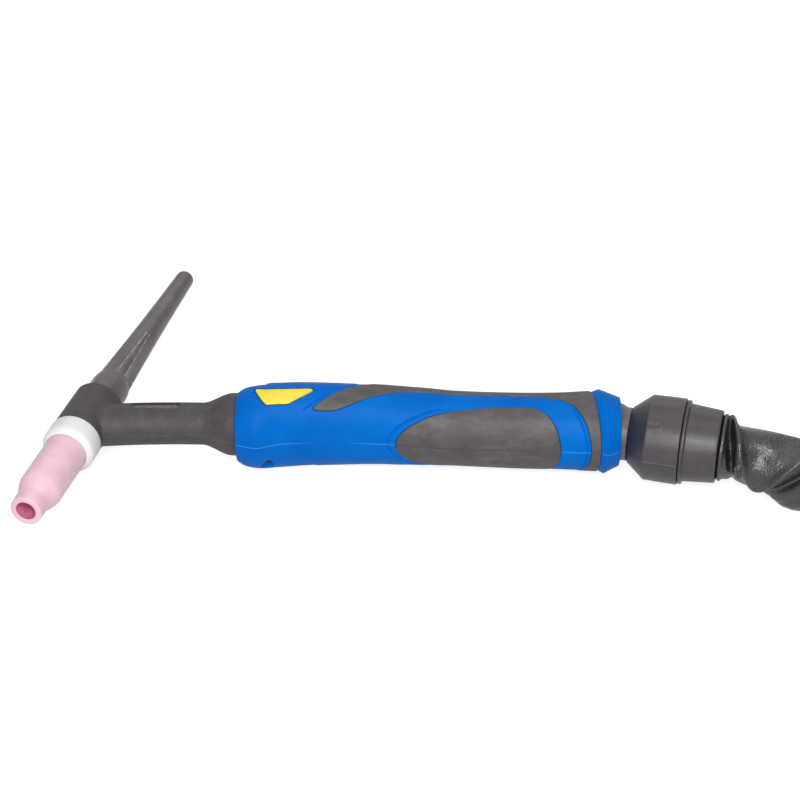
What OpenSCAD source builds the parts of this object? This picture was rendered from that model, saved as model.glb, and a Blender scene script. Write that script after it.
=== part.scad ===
// Gas-cooled hand welding torch with a moulded two-part handle, a ball knuckle and a sheathed cable.
// Frame: origin on the electrode axis in the middle of the torch head, +X along the handle
// towards the cable, +Y towards the back cap, +Z up. The torch lies on its side.

/* [Head] */
// Angle between the electrode axis and the handle axis, in degrees
head_angle = 77; // [65:1:85]
// Outer radius of the rubber-covered head
head_r = 12.7; // [11.5:0.1:14]
// Length of the head from the origin towards the nozzle
head_front = 14.2; // [12:0.2:17]
// Length of the head from the origin towards the back cap
head_back = 15.6; // [14:0.2:18]
// Outer radius of the rubber-covered neck
neck_r = 10.3; // [9:0.1:11]
// Bend of the neck, in degrees
neck_bend = 7; // [4:1:9]
// Radius of the neck's bend
neck_bend_r = 400; // [300:10:450]
// Radius of the flared end of the neck
flare_r = 15.3; // [13:0.1:16]
// Length of the flare
flare_length = 17; // [12:1:20]
// Outer radius of the brass neck tube
neck_tube_r = 5; // [4:0.2:6]
// Bore radius of the brass neck tube
gas_bore_r = 2.5; // [1.5:0.1:3]
// Outer radius of the brass head body
core_r = 8.4; // [7.8:0.1:9]

/* [Nozzle and collet] */
// Length of the ceramic nozzle
nozzle_length = 48.5; // [40:0.5:60]
// Outer radius of the nozzle body
nozzle_r = 10.4; // [9.6:0.1:11]
// Outer radius of the nozzle tip
nozzle_tip_r = 7.6; // [6.5:0.1:8.5]
// Bore radius at the nozzle tip
nozzle_bore_r = 4.75; // [4.2:0.05:6]
// Length of the straight tip of the nozzle
nozzle_tip_length = 7.5; // [5:0.5:10]
// Length of the shoulder between the tip and the nozzle body
nozzle_shoulder = 10.5; // [6:0.5:12]
// Outer radius of the insulator ring behind the nozzle
insulator_r = 13; // [12:0.1:15]
// Length of the insulator ring
insulator_length = 12.7; // [10:0.1:16]
// Chamfer on the front edge of the insulator ring
insulator_chamfer = 2.2; // [0.5:0.1:2.4]
// Electrode radius that the collet is made for
electrode_r = 1.2; // [0.8:0.1:1.3]
// Wall of the collet
collet_wall = 0.75; // [0.6:0.05:0.9]
// Length of the collet
collet_length = 50; // [46:1:52]

/* [Back cap] */
// Length of the back cap outside the head
cap_length = 125.2; // [60:0.2:150]
// Radius of the cap's domed collar
cap_collar_r = 9.7; // [9.3:0.1:11]
// Length of the cap's domed collar
cap_collar_length = 17; // [14:0.5:22]
// Radius of the cap's shaft at the collar
cap_root_r = 8.8; // [7.5:0.1:9]
// Radius of the cap's shaft at the tip
cap_tip_r = 4.8; // [4:0.1:6]
// Number of grip scoops round the shaft
cap_scoops = 4; // [3:1:6]
// Length of the grip scoops
cap_scoop_length = 62; // [30:1:70]
// Depth of the grip scoops
cap_scoop_depth = 1.3; // [0.5:0.1:1.6]
// Radius of the threaded spigot of the cap
spigot_r = 5.3; // [4.8:0.1:5.6]
// Thickness of the O-ring section, as a radius
oring_r = 0.9; // [0.6:0.1:1.1]

/* [Handle] */
// Distance from the origin to the front face of the handle
handle_start = 74; // [70:1:80]
// Length of the handle shells in front of the rear collar
handle_length = 172; // [150:2:190]
// Greatest depth of the handle, front to back
handle_depth = 37; // [35:0.5:42]
// Greatest width of the handle, across the parting plane
handle_width = 44.8; // [43:0.2:50]
// Wall of the handle shells under the soft grips included
shell_wall = 2.8; // [2.4:0.1:3.2]
// Depth of the recesses that hold the soft grips
grip_depth = 1.3; // [0.9:0.1:1.5]
// Slant of the joint between the handle shells and the rear collar
rear_slant = 0.19; // [0:0.01:0.22]
// Radius of the handle screws' shanks
screw_r = 1.5; // [1:0.1:1.8]
// Radius of the handle screws' heads
screw_head_r = 2.7; // [2.3:0.1:3]
// Thickness of the name plate
plate_thickness = 0.6; // [0.4:0.1:1]

/* [Switch] */
// Length of the trigger button along the handle
button_length = 24; // [18:1:28]
// Width of the trigger button
button_width = 13; // [10:0.5:15]
// Height of the button over the switch panel
button_height = 2.6; // [2:0.1:4]
// Travel of the trigger button
button_travel = 1.4; // [1:0.1:1.6]
// Wire radius of the return spring
spring_wire_r = 0.3; // [0.2:0.05:0.4]
// Coil radius of the return spring
spring_r = 2.2; // [1.8:0.1:2.6]

/* [Knuckle] */
// Distance from the handle's rear end to the ball's centre
ball_offset = 8; // [7.6:0.1:8.6]
// Radius of the ball
ball_r = 15; // [14.6:0.1:15.2]
// Radius of the ball's neck
ball_neck_r = 12.9; // [11.5:0.1:13]
// Distance from the ball's centre to the front of the socket cone
ball_neck_length = 10.6; // [10:0.1:13]
// Radius of the ridge of the rear collar
collar_r = 20.3; // [19.6:0.1:22]
// Length of the rear collar
collar_length = 13; // [12.6:0.1:15]
// Angle between the handle axis and the cable socket as stored, in degrees
knuckle_yaw = 12; // [0:1:15]
// Radius of the cable socket's ring
socket_r = 20.9; // [20:0.1:22]
// Length of the cone in front of the ring
socket_cone = 8.8; // [7:0.1:11]
// Length of the ring
socket_ring = 16.4; // [12:0.2:20]
// Length of the sleeve behind the ring
sleeve_length = 20; // [16:0.5:26]
// Radius of the sleeve where it meets the ring
sleeve_r = 18.8; // [18:0.1:19.5]
// Radius of the sleeve at its open end
sleeve_end_r = 17.3; // [16.8:0.1:18]
// Outer radius of the swivel tube inside the ball
swivel_tube_r = 9.4; // [8.4:0.1:9.8]

/* [Cable] */
// Outer diameter of the leather sheath
sheath_d = 30; // [26:0.5:30]
// Radius of the power cable
cable_r = 5.8; // [4.5:0.1:6.2]
// Turns of the coil's lower layer
lower_turns = 1.8; // [1:0.1:2.6]
// Turns of the coil's upper layer
upper_turns = 1.85; // [1:0.05:2.4]
// Radius of the coil's centreline where its spiral reverses
coil_inner_r = 117; // [110:1:125]
// Free space between neighbouring turns
turn_gap = 0.7; // [0.6:0.1:1.5]
// Radius of the current plug's pin
pin_r = 6.5; // [4.5:0.1:6.5]
// Length of the current plug's pin
pin_length = 24; // [18:1:30]
// Radius of the insulated plug body
plug_body_r = 12.5; // [11:0.1:14]
// Length of the insulated plug body
plug_body_length = 34; // [25:1:40]
// Length of the bend relief boot
boot_length = 42; // [30:1:50]

/* [Hidden] */

$fn = 72;

// Fits
running_gap = 0.07;
seat_gap = 0.05;
free_gap = 0.3;

// Chamfer on the end of the current plug's pin
pin_chamfer = 1;

// Places along the head axis, positive towards the back cap
core_front = head_front - 0.8;
core_back = head_back - 0.8;
insulator_front = head_front + insulator_length;
nozzle_seat = 1;
nozzle_back = insulator_front - nozzle_seat;
nozzle_tip = nozzle_back + nozzle_length;
nozzle_thread_r = 6.3;
collet_r = electrode_r + collet_wall;
collet_back = 3;
collet_front = collet_length - collet_back;
spigot_front = collet_back + 0.3;
cap_bore_r = electrode_r + 0.5;
oring_place = head_back - 3;

// Places along the handle axis
handle_end = handle_start + handle_length;
half_depth = handle_depth / 2;
half_width = handle_width / 2;
floor_z = -half_width;
tail_r = 9;
tail_end = handle_start + 10;
neck_tube_end = handle_start + 18;
collar_end = handle_end + collar_length;
ball_x = handle_end + ball_offset;

// Outline of the handle: share of the length, then the depth below and above the axis and the
// width to each side, as shares of half the greatest depth and width
handle_shape = [
    [0.000, 0.84, 0.68, 0.78],
    [0.023, 0.93, 0.76, 0.90],
    [0.063, 1.07, 0.89, 0.95],
    [0.120, 0.86, 0.90, 1.00],
    [0.210, 0.79, 0.98, 0.98],
    [0.380, 0.77, 1.00, 0.93],
    [0.525, 0.87, 0.98, 0.87],
    [0.610, 0.93, 0.96, 0.82],
    [0.755, 0.95, 0.87, 0.84],
    [0.900, 0.97, 0.91, 0.85],
    [1.000, 1.02, 1.02, 0.87]
];
// Edges of the soft grips round the handle: share of the length, degrees from the back seam
finger_edge = [
    [0.215, 130], [0.240, 119], [0.265, 109], [0.290, 99], [0.315, 90], [0.345, 80],
    [0.370, 70], [0.400, 52], [0.420, 34], [0.436, 0], [1.000, 0]
];
band_edge = [
    [0.215, 131], [0.245, 133], [0.280, 131], [0.315, 123], [0.350, 114], [0.390, 105],
    [0.453, 94], [0.530, 85], [0.600, 80], [0.710, 80], [0.800, 82], [0.866, 87],
    [0.907, 95], [0.940, 109], [0.964, 128], [0.982, 152], [0.988, 180], [1.000, 180]
];
palm_edge = [
    [0.445, 180], [0.460, 165], [0.494, 148], [0.529, 134], [0.598, 120], [0.680, 113],
    [0.790, 109], [0.835, 111], [0.860, 119], [0.885, 137], [0.905, 157], [0.912, 180]
];
panel_from = 0.085;
panel_to = 0.360;
panel_half_angle = 53;

// Route of the sheath: straight out of the sleeve, round a wide bend, into the coil
lead_length = 12;
bend_r = 5 * sheath_d;
settle_length = 50;
coil_start_angle = 224;
sheath_r = sheath_d / 2;
sheath_z = floor_z + sheath_r;
turn_pitch = sheath_d + turn_gap;
turn_steps = 24;
reverse_turn = lower_turns + 0.25;
climb_end = lower_turns + 0.5;
all_turns = climb_end + upper_turns;

function mix(a, b, t) = a + (b - a) * t;
function ease(t) = t <= 0 ? 0 : t >= 1 ? 1 : t * t * (3 - 2 * t);
function unit(v) = v / norm(v);

// Smooth curve through the rows of a table, by the row's first value
function row(table, i) = table[min(max(i, 0), len(table) - 1)];
function span_of(table, s, i = 0) =
    i >= len(table) - 2 || s <= table[i + 1][0] ? i : span_of(table, s, i + 1);
function slope(table, i, k) =
    (row(table, i + 1)[k] - row(table, i - 1)[k]) / (row(table, i + 1)[0] - row(table, i - 1)[0]);
function curve(table, s, k) =
    let (i = span_of(table, s), a = row(table, i), b = row(table, i + 1))
    let (h = b[0] - a[0], u = (s - a[0]) / h)
    (2 * u * u * u - 3 * u * u + 1) * a[k] + (u * u * u - 2 * u * u + u) * h * slope(table, i, k)
    + (3 * u * u - 2 * u * u * u) * b[k] + (u * u * u - u * u) * h * slope(table, i + 1, k);
// Straight lines through the rows of a table
function line(table, s, k = 1) =
    let (i = span_of(table, s), a = row(table, i), b = row(table, i + 1))
    mix(a[k], b[k], min(max((s - a[0]) / (b[0] - a[0]), 0), 1));

// A point on the handle's skin, or below it by the inset
function skin(s, angle, inset = 0) =
    let (low = curve(handle_shape, s, 1) * half_depth, high = curve(handle_shape, s, 2) * half_depth)
    let (side = curve(handle_shape, s, 3) * half_width, half = (low + high) / 2)
    [
        handle_start + s * handle_length - slant(s) * ((high - low) / 2 + (half - inset) * cos(angle)),
        (high - low) / 2 + (half - inset) * cos(angle),
        (side - inset) * sin(angle)
    ];
function slant(s) = rear_slant * ease((s - 0.86) / 0.14);
function round_point(x, r, angle, lean = 0) = [x - lean * r * cos(angle), r * cos(angle), r * sin(angle)];

// Angles where the zones of the handle's skin meet: panel, shell, finger and band grip, shell, palm
function in_panel(s) = s >= panel_from && s <= panel_to;
function panel_angle(s) =
    let (t = (2 * s - panel_from - panel_to) / (panel_to - panel_from))
    panel_half_angle * pow(max(1 - pow(abs(t), 6), 0.02), 0.5);
function finger_angle(s) = max(s < finger_edge[0][0] ? finger_edge[0][1] : line(finger_edge, s), 0);
function band_angle(s) = s < band_edge[0][0] ? finger_edge[0][1] : line(band_edge, s);
function in_palm(s) = s > palm_edge[0][0] && s < palm_edge[len(palm_edge) - 1][0];
function palm_angle(s) = in_palm(s) ? line(palm_edge, s) : 180;
function zone_edges(s) =
    let (f = finger_angle(s), b = band_angle(s))
    let (p = s > panel_to ? min(panel_half_angle, f * 0.6) : panel_angle(s))
    [0, p, f, b, max(palm_angle(s), b), 180];
function zone_inset(s, zone) =
    zone <= 1 && finger_angle(s) <= 0 ? grip_depth
    : zone >= 3 && band_angle(s) >= 180 ? grip_depth
    : zone == 0 ? (in_panel(s) ? grip_depth : 0)
    : zone == 2 ? (s > finger_edge[0][0] ? grip_depth : 0)
    : zone == 4 ? (in_palm(s) ? grip_depth : 0)
    : 0;
zone_steps = [3, 5, 9, 4, 6];
inner_steps = 10;

function shell_outer(s) =
    let (edges = zone_edges(s))
    [
        for (zone = [0:4])
            for (i = [0:zone_steps[zone]])
                skin(s, mix(edges[zone], edges[zone + 1], i / zone_steps[zone]), zone_inset(s, zone))
    ];
function outer_angles(s) =
    let (edges = zone_edges(s))
    [for (zone = [0:4]) for (i = [0:zone_steps[zone]]) mix(edges[zone], edges[zone + 1], i / zone_steps[zone])];
function shell_inner(s, round_r, roundness) = [
    for (i = [inner_steps:-1:0])
        let (angle = 180 * i / inner_steps, p = skin(s, angle, shell_wall))
        mix(p, round_point(handle_start + s * handle_length, round_r, angle, slant(s)), roundness)
];
function spigot_outer(x, r, lean) = [for (angle = outer_angles(1)) round_point(x, r, angle, lean)];
function spigot_inner(x, r, lean) = [
    for (i = [inner_steps:-1:0]) round_point(x, r, 180 * i / inner_steps, lean)
];
function partners(angles) = [for (angle = angles) round(angle / 180 * inner_steps)];

// Solid through a row of sections of equal length, each an outer run and then an inner run back
module loft(sections, first_partners, last_partners) {
    size = len(sections[0]);
    outer_count = len(first_partners);
    last = (len(sections) - 1) * size;
    function cap(i, partner) = concat(
        [[i, i + 1, size - 1 - partner[i]]],
        partner[i] == partner[i + 1] ? [] : [
            for (j = [partner[i]:partner[i + 1] - 1]) [i + 1, size - 2 - j, size - 1 - j]
        ]
    );
    first_cap = [for (i = [0:outer_count - 2]) each cap(i, first_partners)];
    last_cap = [for (i = [0:outer_count - 2]) for (f = cap(i, last_partners)) [f[2] + last, f[1] + last, f[0] + last]];
    sides = [
        for (n = [0:len(sections) - 2])
            for (i = [0:size - 1])
                let (a = n * size + i, b = n * size + (i + 1) % size)
                each i < outer_count
                    ? [[a, a + size, b + size], [a, b + size, b]]
                    : [[a, a + size, b], [b, a + size, b + size]]
    ];
    polyhedron(points = [for (s = sections) each s], faces = concat(first_cap, sides, last_cap));
}

// Round tube swept along a line of points
function tangent(path, i) = unit(path[min(i + 1, len(path) - 1)] - path[max(i - 1, 0)]);
module tube(path, r, sides, up = [0, 0, 1]) {
    rings = len(path);
    points = [
        for (i = [0:rings - 1])
            let (t = tangent(path, i), side = unit(cross(t, up)), rise = cross(side, t))
            for (k = [0:sides - 1])
                let (angle = 90 + 360 * k / sides)
                path[i] + r * (cos(angle) * side + sin(angle) * rise)
    ];
    walls = [
        for (i = [0:rings - 2])
            for (k = [0:sides - 1])
                let (a = i * sides + k, b = i * sides + (k + 1) % sides)
                each [[a, b, b + sides], [a, b + sides, a + sides]]
    ];
    start = [for (k = [1:sides - 2]) [0, k + 1, k]];
    end = [for (f = start) [for (v = [2:-1:0]) f[v] + (rings - 1) * sides]];
    polyhedron(points = points, faces = concat(walls, start, end));
}

// Frames: along the head axis, and along the cable socket's axis from the ball's centre
module on_head(w = 0) {
    rotate([0, 0, head_angle]) rotate([0, 90, 0]) translate([0, 0, w]) children();
}
module on_handle(x = 0) {
    translate([x, 0, 0]) rotate([0, 90, 0]) children();
}
module on_socket() {
    translate([ball_x, 0, 0]) rotate([0, 0, -knuckle_yaw]) rotate([0, 90, 0]) children();
}
module turned(outline) {
    rotate_extrude() polygon(outline);
}
module ring(r_out, r_in, from, to) {
    turned([[r_in, from], [r_out, from], [r_out, to], [r_in, to]]);
}

// The neck's round rod, bent towards the head, straight towards the handle
neck_bend_start = handle_start - flare_length;
module neck_rod(r, straight_end) {
    translate([neck_bend_start, -neck_bend_r, 0]) rotate([0, 0, 90])
        rotate_extrude(angle = neck_bend) translate([neck_bend_r, 0]) circle(r);
    on_handle(neck_bend_start) cylinder(r = r, h = straight_end - neck_bend_start);
}

module core_outside(gap = 0) {
    on_head(-core_front) cylinder(r = core_r + gap, h = core_front + core_back + gap);
    neck_rod(neck_tube_r + gap, neck_tube_end);
}

front_bore_r = 5;
back_bore_r = spigot_r + running_gap;
module torch_body_core() {
    color("#b08d4a") difference() {
        core_outside();
        on_head(-core_front - 1) cylinder(r = front_bore_r, h = core_front - 1);
        on_head(-core_front) cylinder(r = collet_r + 0.6, h = core_front + core_back);
        on_head(spigot_front - 0.2) cylinder(r = back_bore_r, h = core_back);
        on_head(oring_place - 2 * oring_r) cylinder(r = back_bore_r + 0.7, h = core_back);
        on_handle(neck_bend_start) cylinder(r = gas_bore_r, h = neck_tube_end);
    }
}

flare_steps = 12;
module torch_body_cover() {
    flare = [
        for (i = [0:flare_steps])
            let (t = i / flare_steps)
            [mix(neck_r, flare_r, pow(ease(min(t * 1.15, 1)), 0.9)), t * flare_length]
    ];
    color("#544f53") difference() {
        union() {
            on_head(-head_front) cylinder(r = head_r, h = head_front + head_back);
            neck_rod(neck_r, neck_bend_start + 1);
            on_handle(neck_bend_start) turned(concat([[0, 0]], flare, [[0, flare_length]]));
            on_handle(neck_bend_start) cylinder(r = tail_r, h = tail_end - neck_bend_start);
        }
        core_outside(seat_gap);
        on_head(core_back) cylinder(r = cap_collar_r - 2, h = head_back);
        on_head(-head_front - 1) cylinder(r = core_r, h = 2);
    }
}

module cup_insulator() {
    w = insulator_length - seat_gap;
    soft_edge = 0.6;
    color("white") on_head(-insulator_front) difference() {
        turned([
            [0, 0], [insulator_r - insulator_chamfer, 0], [insulator_r - soft_edge, insulator_chamfer],
            [insulator_r, insulator_chamfer * 1.6], [insulator_r, w - soft_edge],
            [insulator_r - soft_edge, w], [0, w]
        ]);
        translate([0, 0, -1]) cylinder(r = nozzle_thread_r + 0.3, h = w + 2);
        translate([0, 0, -1]) cylinder(r = nozzle_r + seat_gap, h = nozzle_seat + 1 + seat_gap);
        translate([0, 0, insulator_front + flange_back - flange_length]) cylinder(r = flange_r + seat_gap, h = 10);
    }
}

shoulder_steps = 8;
module gas_nozzle() {
    bore_step = nozzle_length - 19;
    shoulder = [
        for (i = [0:shoulder_steps])
            let (t = i / shoulder_steps)
            [mix(nozzle_tip_r, nozzle_r, ease(t)), nozzle_tip_length + t * nozzle_shoulder]
    ];
    color("#f6c4d6") on_head(-nozzle_tip) turned(concat(
        [[nozzle_bore_r + 0.4, 0], [nozzle_tip_r - 0.6, 0], [nozzle_tip_r, 0.6]],
        shoulder,
        [[nozzle_r, nozzle_length], [nozzle_thread_r + running_gap, nozzle_length]],
        [[nozzle_thread_r + running_gap, bore_step + 4], [nozzle_bore_r, bore_step], [nozzle_bore_r, 0.4]]
    ));
}

flange_r = 7.6;
flange_length = 3;
flange_back = -core_front - seat_gap;
collet_body_length = 41;
nose_r = 3.8;
gas_holes = 4;
module collet_body() {
    back = -core_front + 10;
    thread_front = -nozzle_back - 14;
    front = flange_back - collet_body_length;
    color("#c8a052") on_head() difference() {
        turned([
            [0, front], [nose_r - 0.8, front], [nose_r, front + 1.5], [nose_r, thread_front - 3],
            [nozzle_thread_r, thread_front], [nozzle_thread_r, flange_back - flange_length],
            [flange_r, flange_back - flange_length], [flange_r, flange_back],
            [front_bore_r - running_gap, flange_back], [front_bore_r - running_gap, back], [0, back]
        ]);
        translate([0, 0, front - 1]) cylinder(r = collet_r + running_gap, h = back - front + 2);
        for (i = [0:gas_holes - 1])
            rotate([0, 0, 45 + 360 / gas_holes * i]) translate([0, 0, thread_front - 5])
                rotate([0, 90, 0]) cylinder(r = 0.9, h = nose_r + 1);
    }
}

collet_slots = 2;
collet_slot_length = 20;
module collet() {
    color("#b87345") on_head(-collet_front) difference() {
        cylinder(r = collet_r, h = collet_length);
        translate([0, 0, -1]) cylinder(r = electrode_r, h = collet_length + 2);
        for (i = [0:collet_slots - 1])
            rotate([0, 0, 180 / collet_slots * i]) translate([-collet_r - 1, -0.2, -1])
                cube([2 * collet_r + 2, 0.4, collet_slot_length + 1]);
    }
}

module back_cap() {
    root = head_back + cap_collar_length;
    tip = head_back + cap_length;
    // The scoops run out where the shaft has tapered down to their floor
    runout = 1 - (cap_scoop_length - 4) / (tip - root);
    runout_r = cap_tip_r + (cap_root_r - cap_tip_r) * (0.7 * runout + 0.3 * runout * runout * runout);
    taper = atan((cap_root_r - cap_scoop_depth - runout_r) / (cap_scoop_length - 4));
    scoop_r = 12;
    shaft_steps = 8;
    shaft = [
        for (i = [1:shaft_steps - 1])
            let (left = 1 - i / shaft_steps)
            [
                cap_tip_r + (cap_root_r - cap_tip_r) * (0.7 * left + 0.3 * left * left * left),
                mix(root, tip - 3, i / shaft_steps)
            ]
    ];
    dome_steps = 8;
    dome = [
        for (i = [0:dome_steps])
            let (t = i / dome_steps)
            [mix(cap_root_r, cap_collar_r, sqrt(1 - t * t)), root - 6 + 6 * t]
    ];
    end_steps = 6;
    end = [
        for (i = [0:end_steps])
            let (a = 90 * i / end_steps)
            [cap_tip_r * 0.6 + 0.4 * cap_tip_r * cos(a), tip - 0.4 * cap_tip_r * (1 - sin(a))]
    ];
    color("#68606a") on_head() difference() {
        turned(concat(
            [[0, spigot_front], [spigot_r, spigot_front], [spigot_r, oring_place - oring_r]],
            [[spigot_r - oring_r, oring_place - oring_r], [spigot_r - oring_r, oring_place + oring_r]],
            [[spigot_r, oring_place + oring_r], [spigot_r, head_back + 0.1]],
            [[cap_collar_r - 0.4, head_back + 0.1], [cap_collar_r, head_back + 1]],
            dome, shaft, end, [[0, tip]]
        ));
        translate([0, 0, spigot_front - 1]) cylinder(r = cap_bore_r, h = tip - spigot_front - 5);
        for (i = [0:cap_scoops - 1])
            rotate([0, 0, 360 / cap_scoops * (i + 0.5) + cap_turned])
                translate([cap_root_r + scoop_r - cap_scoop_depth, 0, root - 1.5])
                rotate([0, -taper, 0]) cylinder(r = scoop_r, h = cap_scoop_length);
    }
}
cap_turned = 147;

module back_cap_oring() {
    color("#202020") on_head(oring_place) rotate_extrude()
        translate([spigot_r - oring_r + seat_gap + oring_r * 0.9, 0]) circle(oring_r * 0.9, $fn = 24);
}

// Handle shells
screw_x = handle_start + 14.7;
screw_low_y = -curve(handle_shape, 16 / handle_length, 1) * half_depth + 4.2;
screw_high_y = curve(handle_shape, 16 / handle_length, 2) * half_depth - 5.6;
boss_r = 4.3;
screw_head_z = -9;
screw_length = 16;
shell_spigot_r = 17.6;
shell_mouth_r = ball_r + 0.9;
front_wall = 2.2;
shell_rings = concat(
    [0, 0.006, front_wall / handle_length - 0.0005, front_wall / handle_length + 0.0005],
    [0.023, 0.040, 0.062, panel_from - 0.001, panel_from, panel_from + 0.003, panel_from + 0.012],
    [for (s = [0.115:0.025:0.19]) s], [finger_edge[0][0], 0.222, 0.235, 0.25, 0.265],
    [for (s = [0.285:0.025:0.335]) s], [0.35, panel_to - 0.003, panel_to, panel_to + 0.001],
    [for (s = [0.38:0.02:0.42]) s], [0.436, 0.450, 0.460, 0.477, 0.494, 0.529, 0.565, 0.6],
    [0.65, 0.7, 0.75, 0.79, 0.835, 0.86, 0.885, 0.898, 0.905, 0.911, 0.925, 0.94, 0.952],
    [0.964, 0.973, 0.982, 0.988, 1]
);

module shell_blank() {
    socket_from = 0.935;
    socket_to = 0.965;
    body = [
        for (s = shell_rings)
            let (front = s * handle_length < front_wall)
            concat(shell_outer(s), shell_inner(s, front ? tail_r + seat_gap : shell_mouth_r,
                front ? 1 : ease((s - socket_from) / (socket_to - socket_from))))
    ];
    spigot = [
        for (end = [[handle_end, rear_slant], [handle_end + 4, 0]])
            concat(
                spigot_outer(end[0], shell_spigot_r, end[1]),
                spigot_inner(end[0], shell_mouth_r, end[1])
            )
    ];
    loft(concat(body, spigot), partners(outer_angles(0)), partners(outer_angles(1)));
}

window_from = handle_start + (panel_from + panel_to) / 2 * handle_length - button_length / 2;
module switch_window(gap) {
    translate([window_from - gap, 0, -button_width / 2 - gap])
        cube([button_length + 2 * gap, half_depth + 10, button_width + 2 * gap]);
}

module screw_bosses(height) {
    for (y = [screw_low_y, screw_high_y])
        translate([screw_x, y, 0]) cylinder(r = boss_r, h = height, $fn = 36);
}

module handle_shell_upper() {
    color("#0a63c4") difference() {
        union() {
            shell_blank();
            intersection() {
                screw_bosses(half_width);
                hull() shell_core_blank();
            }
        }
        screw_holes();
        switch_window(free_gap);
    }
}

// The space inside the shell's skin, that bosses may fill
module shell_core_blank() {
    for (s = [0.03, 0.13])
        for (a = [0:15:180])
            translate(skin(s, a, shell_wall / 2)) cube(0.01);
}

module handle_shell_lower() {
    color("#0a63c4") mirror([0, 0, 1]) difference() {
        union() {
            shell_blank();
            intersection() {
                screw_bosses(half_width);
                hull() shell_core_blank();
            }
        }
        mirror([0, 0, 1]) screw_holes();
        switch_window(free_gap);
    }
}

module screw_holes() {
    for (y = [screw_low_y, screw_high_y]) translate([screw_x, y, 0]) {
        translate([0, 0, -half_width]) cylinder(r = screw_head_r + 0.2, h = half_width + screw_head_z, $fn = 36);
        translate([0, 0, screw_head_z - 1]) cylinder(r = screw_r + seat_gap, h = screw_length, $fn = 36);
    }
}

module handle_screws() {
    color("silver") for (y = [screw_low_y, screw_high_y]) translate([screw_x, y, screw_head_z]) {
        difference() {
            translate([0, 0, -2]) cylinder(r = screw_head_r, h = 2, $fn = 36);
            for (a = [0, 90]) rotate([0, 0, a]) translate([-1.6, -0.3, -2.5]) cube([3.2, 0.6, 1.4]);
        }
        cylinder(r = screw_r, h = screw_length - 2, $fn = 36);
    }
}

// Soft grips: patches that fill the recesses
patch_gap = 0.1;
module patch(from, to, zone, proud) {
    n = zone_steps[zone];
    sections = [
        for (s = shell_rings) if (s >= from && s <= to)
            let (edges = zone_edges(s), trim = min(0.4, (edges[zone + 1] - edges[zone]) * 0.1))
            let (a = edges[zone] == 0 ? 0 : edges[zone] + trim)
            let (b = edges[zone + 1] == 180 ? 180 : edges[zone + 1] - trim)
            concat(
                [for (i = [0:n]) skin(s, mix(a, b, i / n), -proud)],
                [for (i = [n:-1:0]) skin(s, mix(a, b, i / n), grip_depth - patch_gap)]
            )
    ];
    loft(sections, [for (i = [0:n]) i], [for (i = [0:n]) i]);
}
module soft_grip() {
    color("#544f53") patch(0.222, 1, 2, 0.1);
}
module soft_grip_upper() {
    soft_grip();
}
module soft_grip_lower() {
    mirror([0, 0, 1]) soft_grip();
}
module palm_grip() {
    color("#544f53") patch(0.455, 0.9055, 4, 0.1);
}
module palm_grip_upper() {
    palm_grip();
}
module palm_grip_lower() {
    mirror([0, 0, 1]) palm_grip();
}

panel_proud = 1;
module switch_panel() {
    color("#3c393c") difference() {
        union() {
            patch(panel_from + 0.0005, panel_to + 0.0005, 0, panel_proud);
            mirror([0, 0, 1]) patch(panel_from + 0.0005, panel_to + 0.0005, 0, panel_proud);
        }
        screw_holes();
        switch_window(running_gap);
    }
}

button_base = half_depth - 5.4;
button_top = half_depth + panel_proud + button_height;
button_lip = 1.2;
module trigger_button() {
    crown_r = 70;
    r = 3;
    color("#2c2a2c") {
        intersection() {
            translate([window_from, button_base, -button_width / 2]) rotate([-90, 0, 0])
                translate([0, -button_width, 0]) linear_extrude(button_top - button_base) union() {
                    translate([r, 0]) square([button_length - 2 * r, button_width]);
                    translate([0, r]) square([button_length, button_width - 2 * r]);
                    for (x = [r, button_length - r])
                        for (y = [r, button_width - r])
                            translate([x, y]) circle(r, $fn = 36);
                }
            translate([window_from + button_length / 2, button_top - crown_r, -button_width])
                cylinder(r = crown_r, h = 2 * button_width, $fn = 144);
        }
        translate([window_from - button_lip, button_base, -3])
            cube([button_length + 2 * button_lip, 0.8, 6]);
    }
}

plunger_height = 0.8;
bracket_bottom = cable_r + 0.2;
bracket_top = bracket_bottom + 0.8;
switch_top = button_base - button_travel - plunger_height - 0.1;
switch_size = [9, switch_top - bracket_top, 6.4];
spring_x = window_from + button_length - 5;
// Half of the space inside the shells at a height over the axis
function inside_reach(s, y) =
    let (low = curve(handle_shape, s, 1) * half_depth, high = curve(handle_shape, s, 2) * half_depth)
    let (side = curve(handle_shape, s, 3) * half_width, half = (low + high) / 2)
    let (rise = (y - (high - low) / 2) / (half - shell_wall))
    (side - shell_wall) * sqrt(max(1 - rise * rise, 0));
function share(x) = (x - handle_start) / handle_length;
bracket_from = window_from + 1;
bracket_length = button_length - 2;
bracket_reach = min([
    for (x = [bracket_from:2:bracket_from + bracket_length]) inside_reach(share(x), bracket_top)
]) - 0.12;
module microswitch() {
    middle = window_from + 8;
    color("#1f1f22") {
        translate([middle - switch_size[0] / 2, bracket_top, -switch_size[2] / 2]) cube(switch_size);
        translate([middle, switch_top, 0]) rotate([-90, 0, 0])
            cylinder(r = 1.2, h = plunger_height, $fn = 24);
        translate([bracket_from, bracket_bottom, -bracket_reach])
            cube([bracket_length, bracket_top - bracket_bottom, 2 * bracket_reach]);
    }
}

spring_turns = 4;
module trigger_spring() {
    steps = 10;
    height = button_base - bracket_top - 2 * spring_wire_r - 0.1;
    helix = [
        for (i = [0:spring_turns * steps])
            let (a = 360 * i / steps)
            [
                spring_x + spring_r * cos(a),
                bracket_top + spring_wire_r + 0.05 + height * i / (spring_turns * steps),
                spring_r * sin(a)
            ]
    ];
    color("silver") tube(helix, spring_wire_r, 6, [0, 1, 0]);
}

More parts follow.
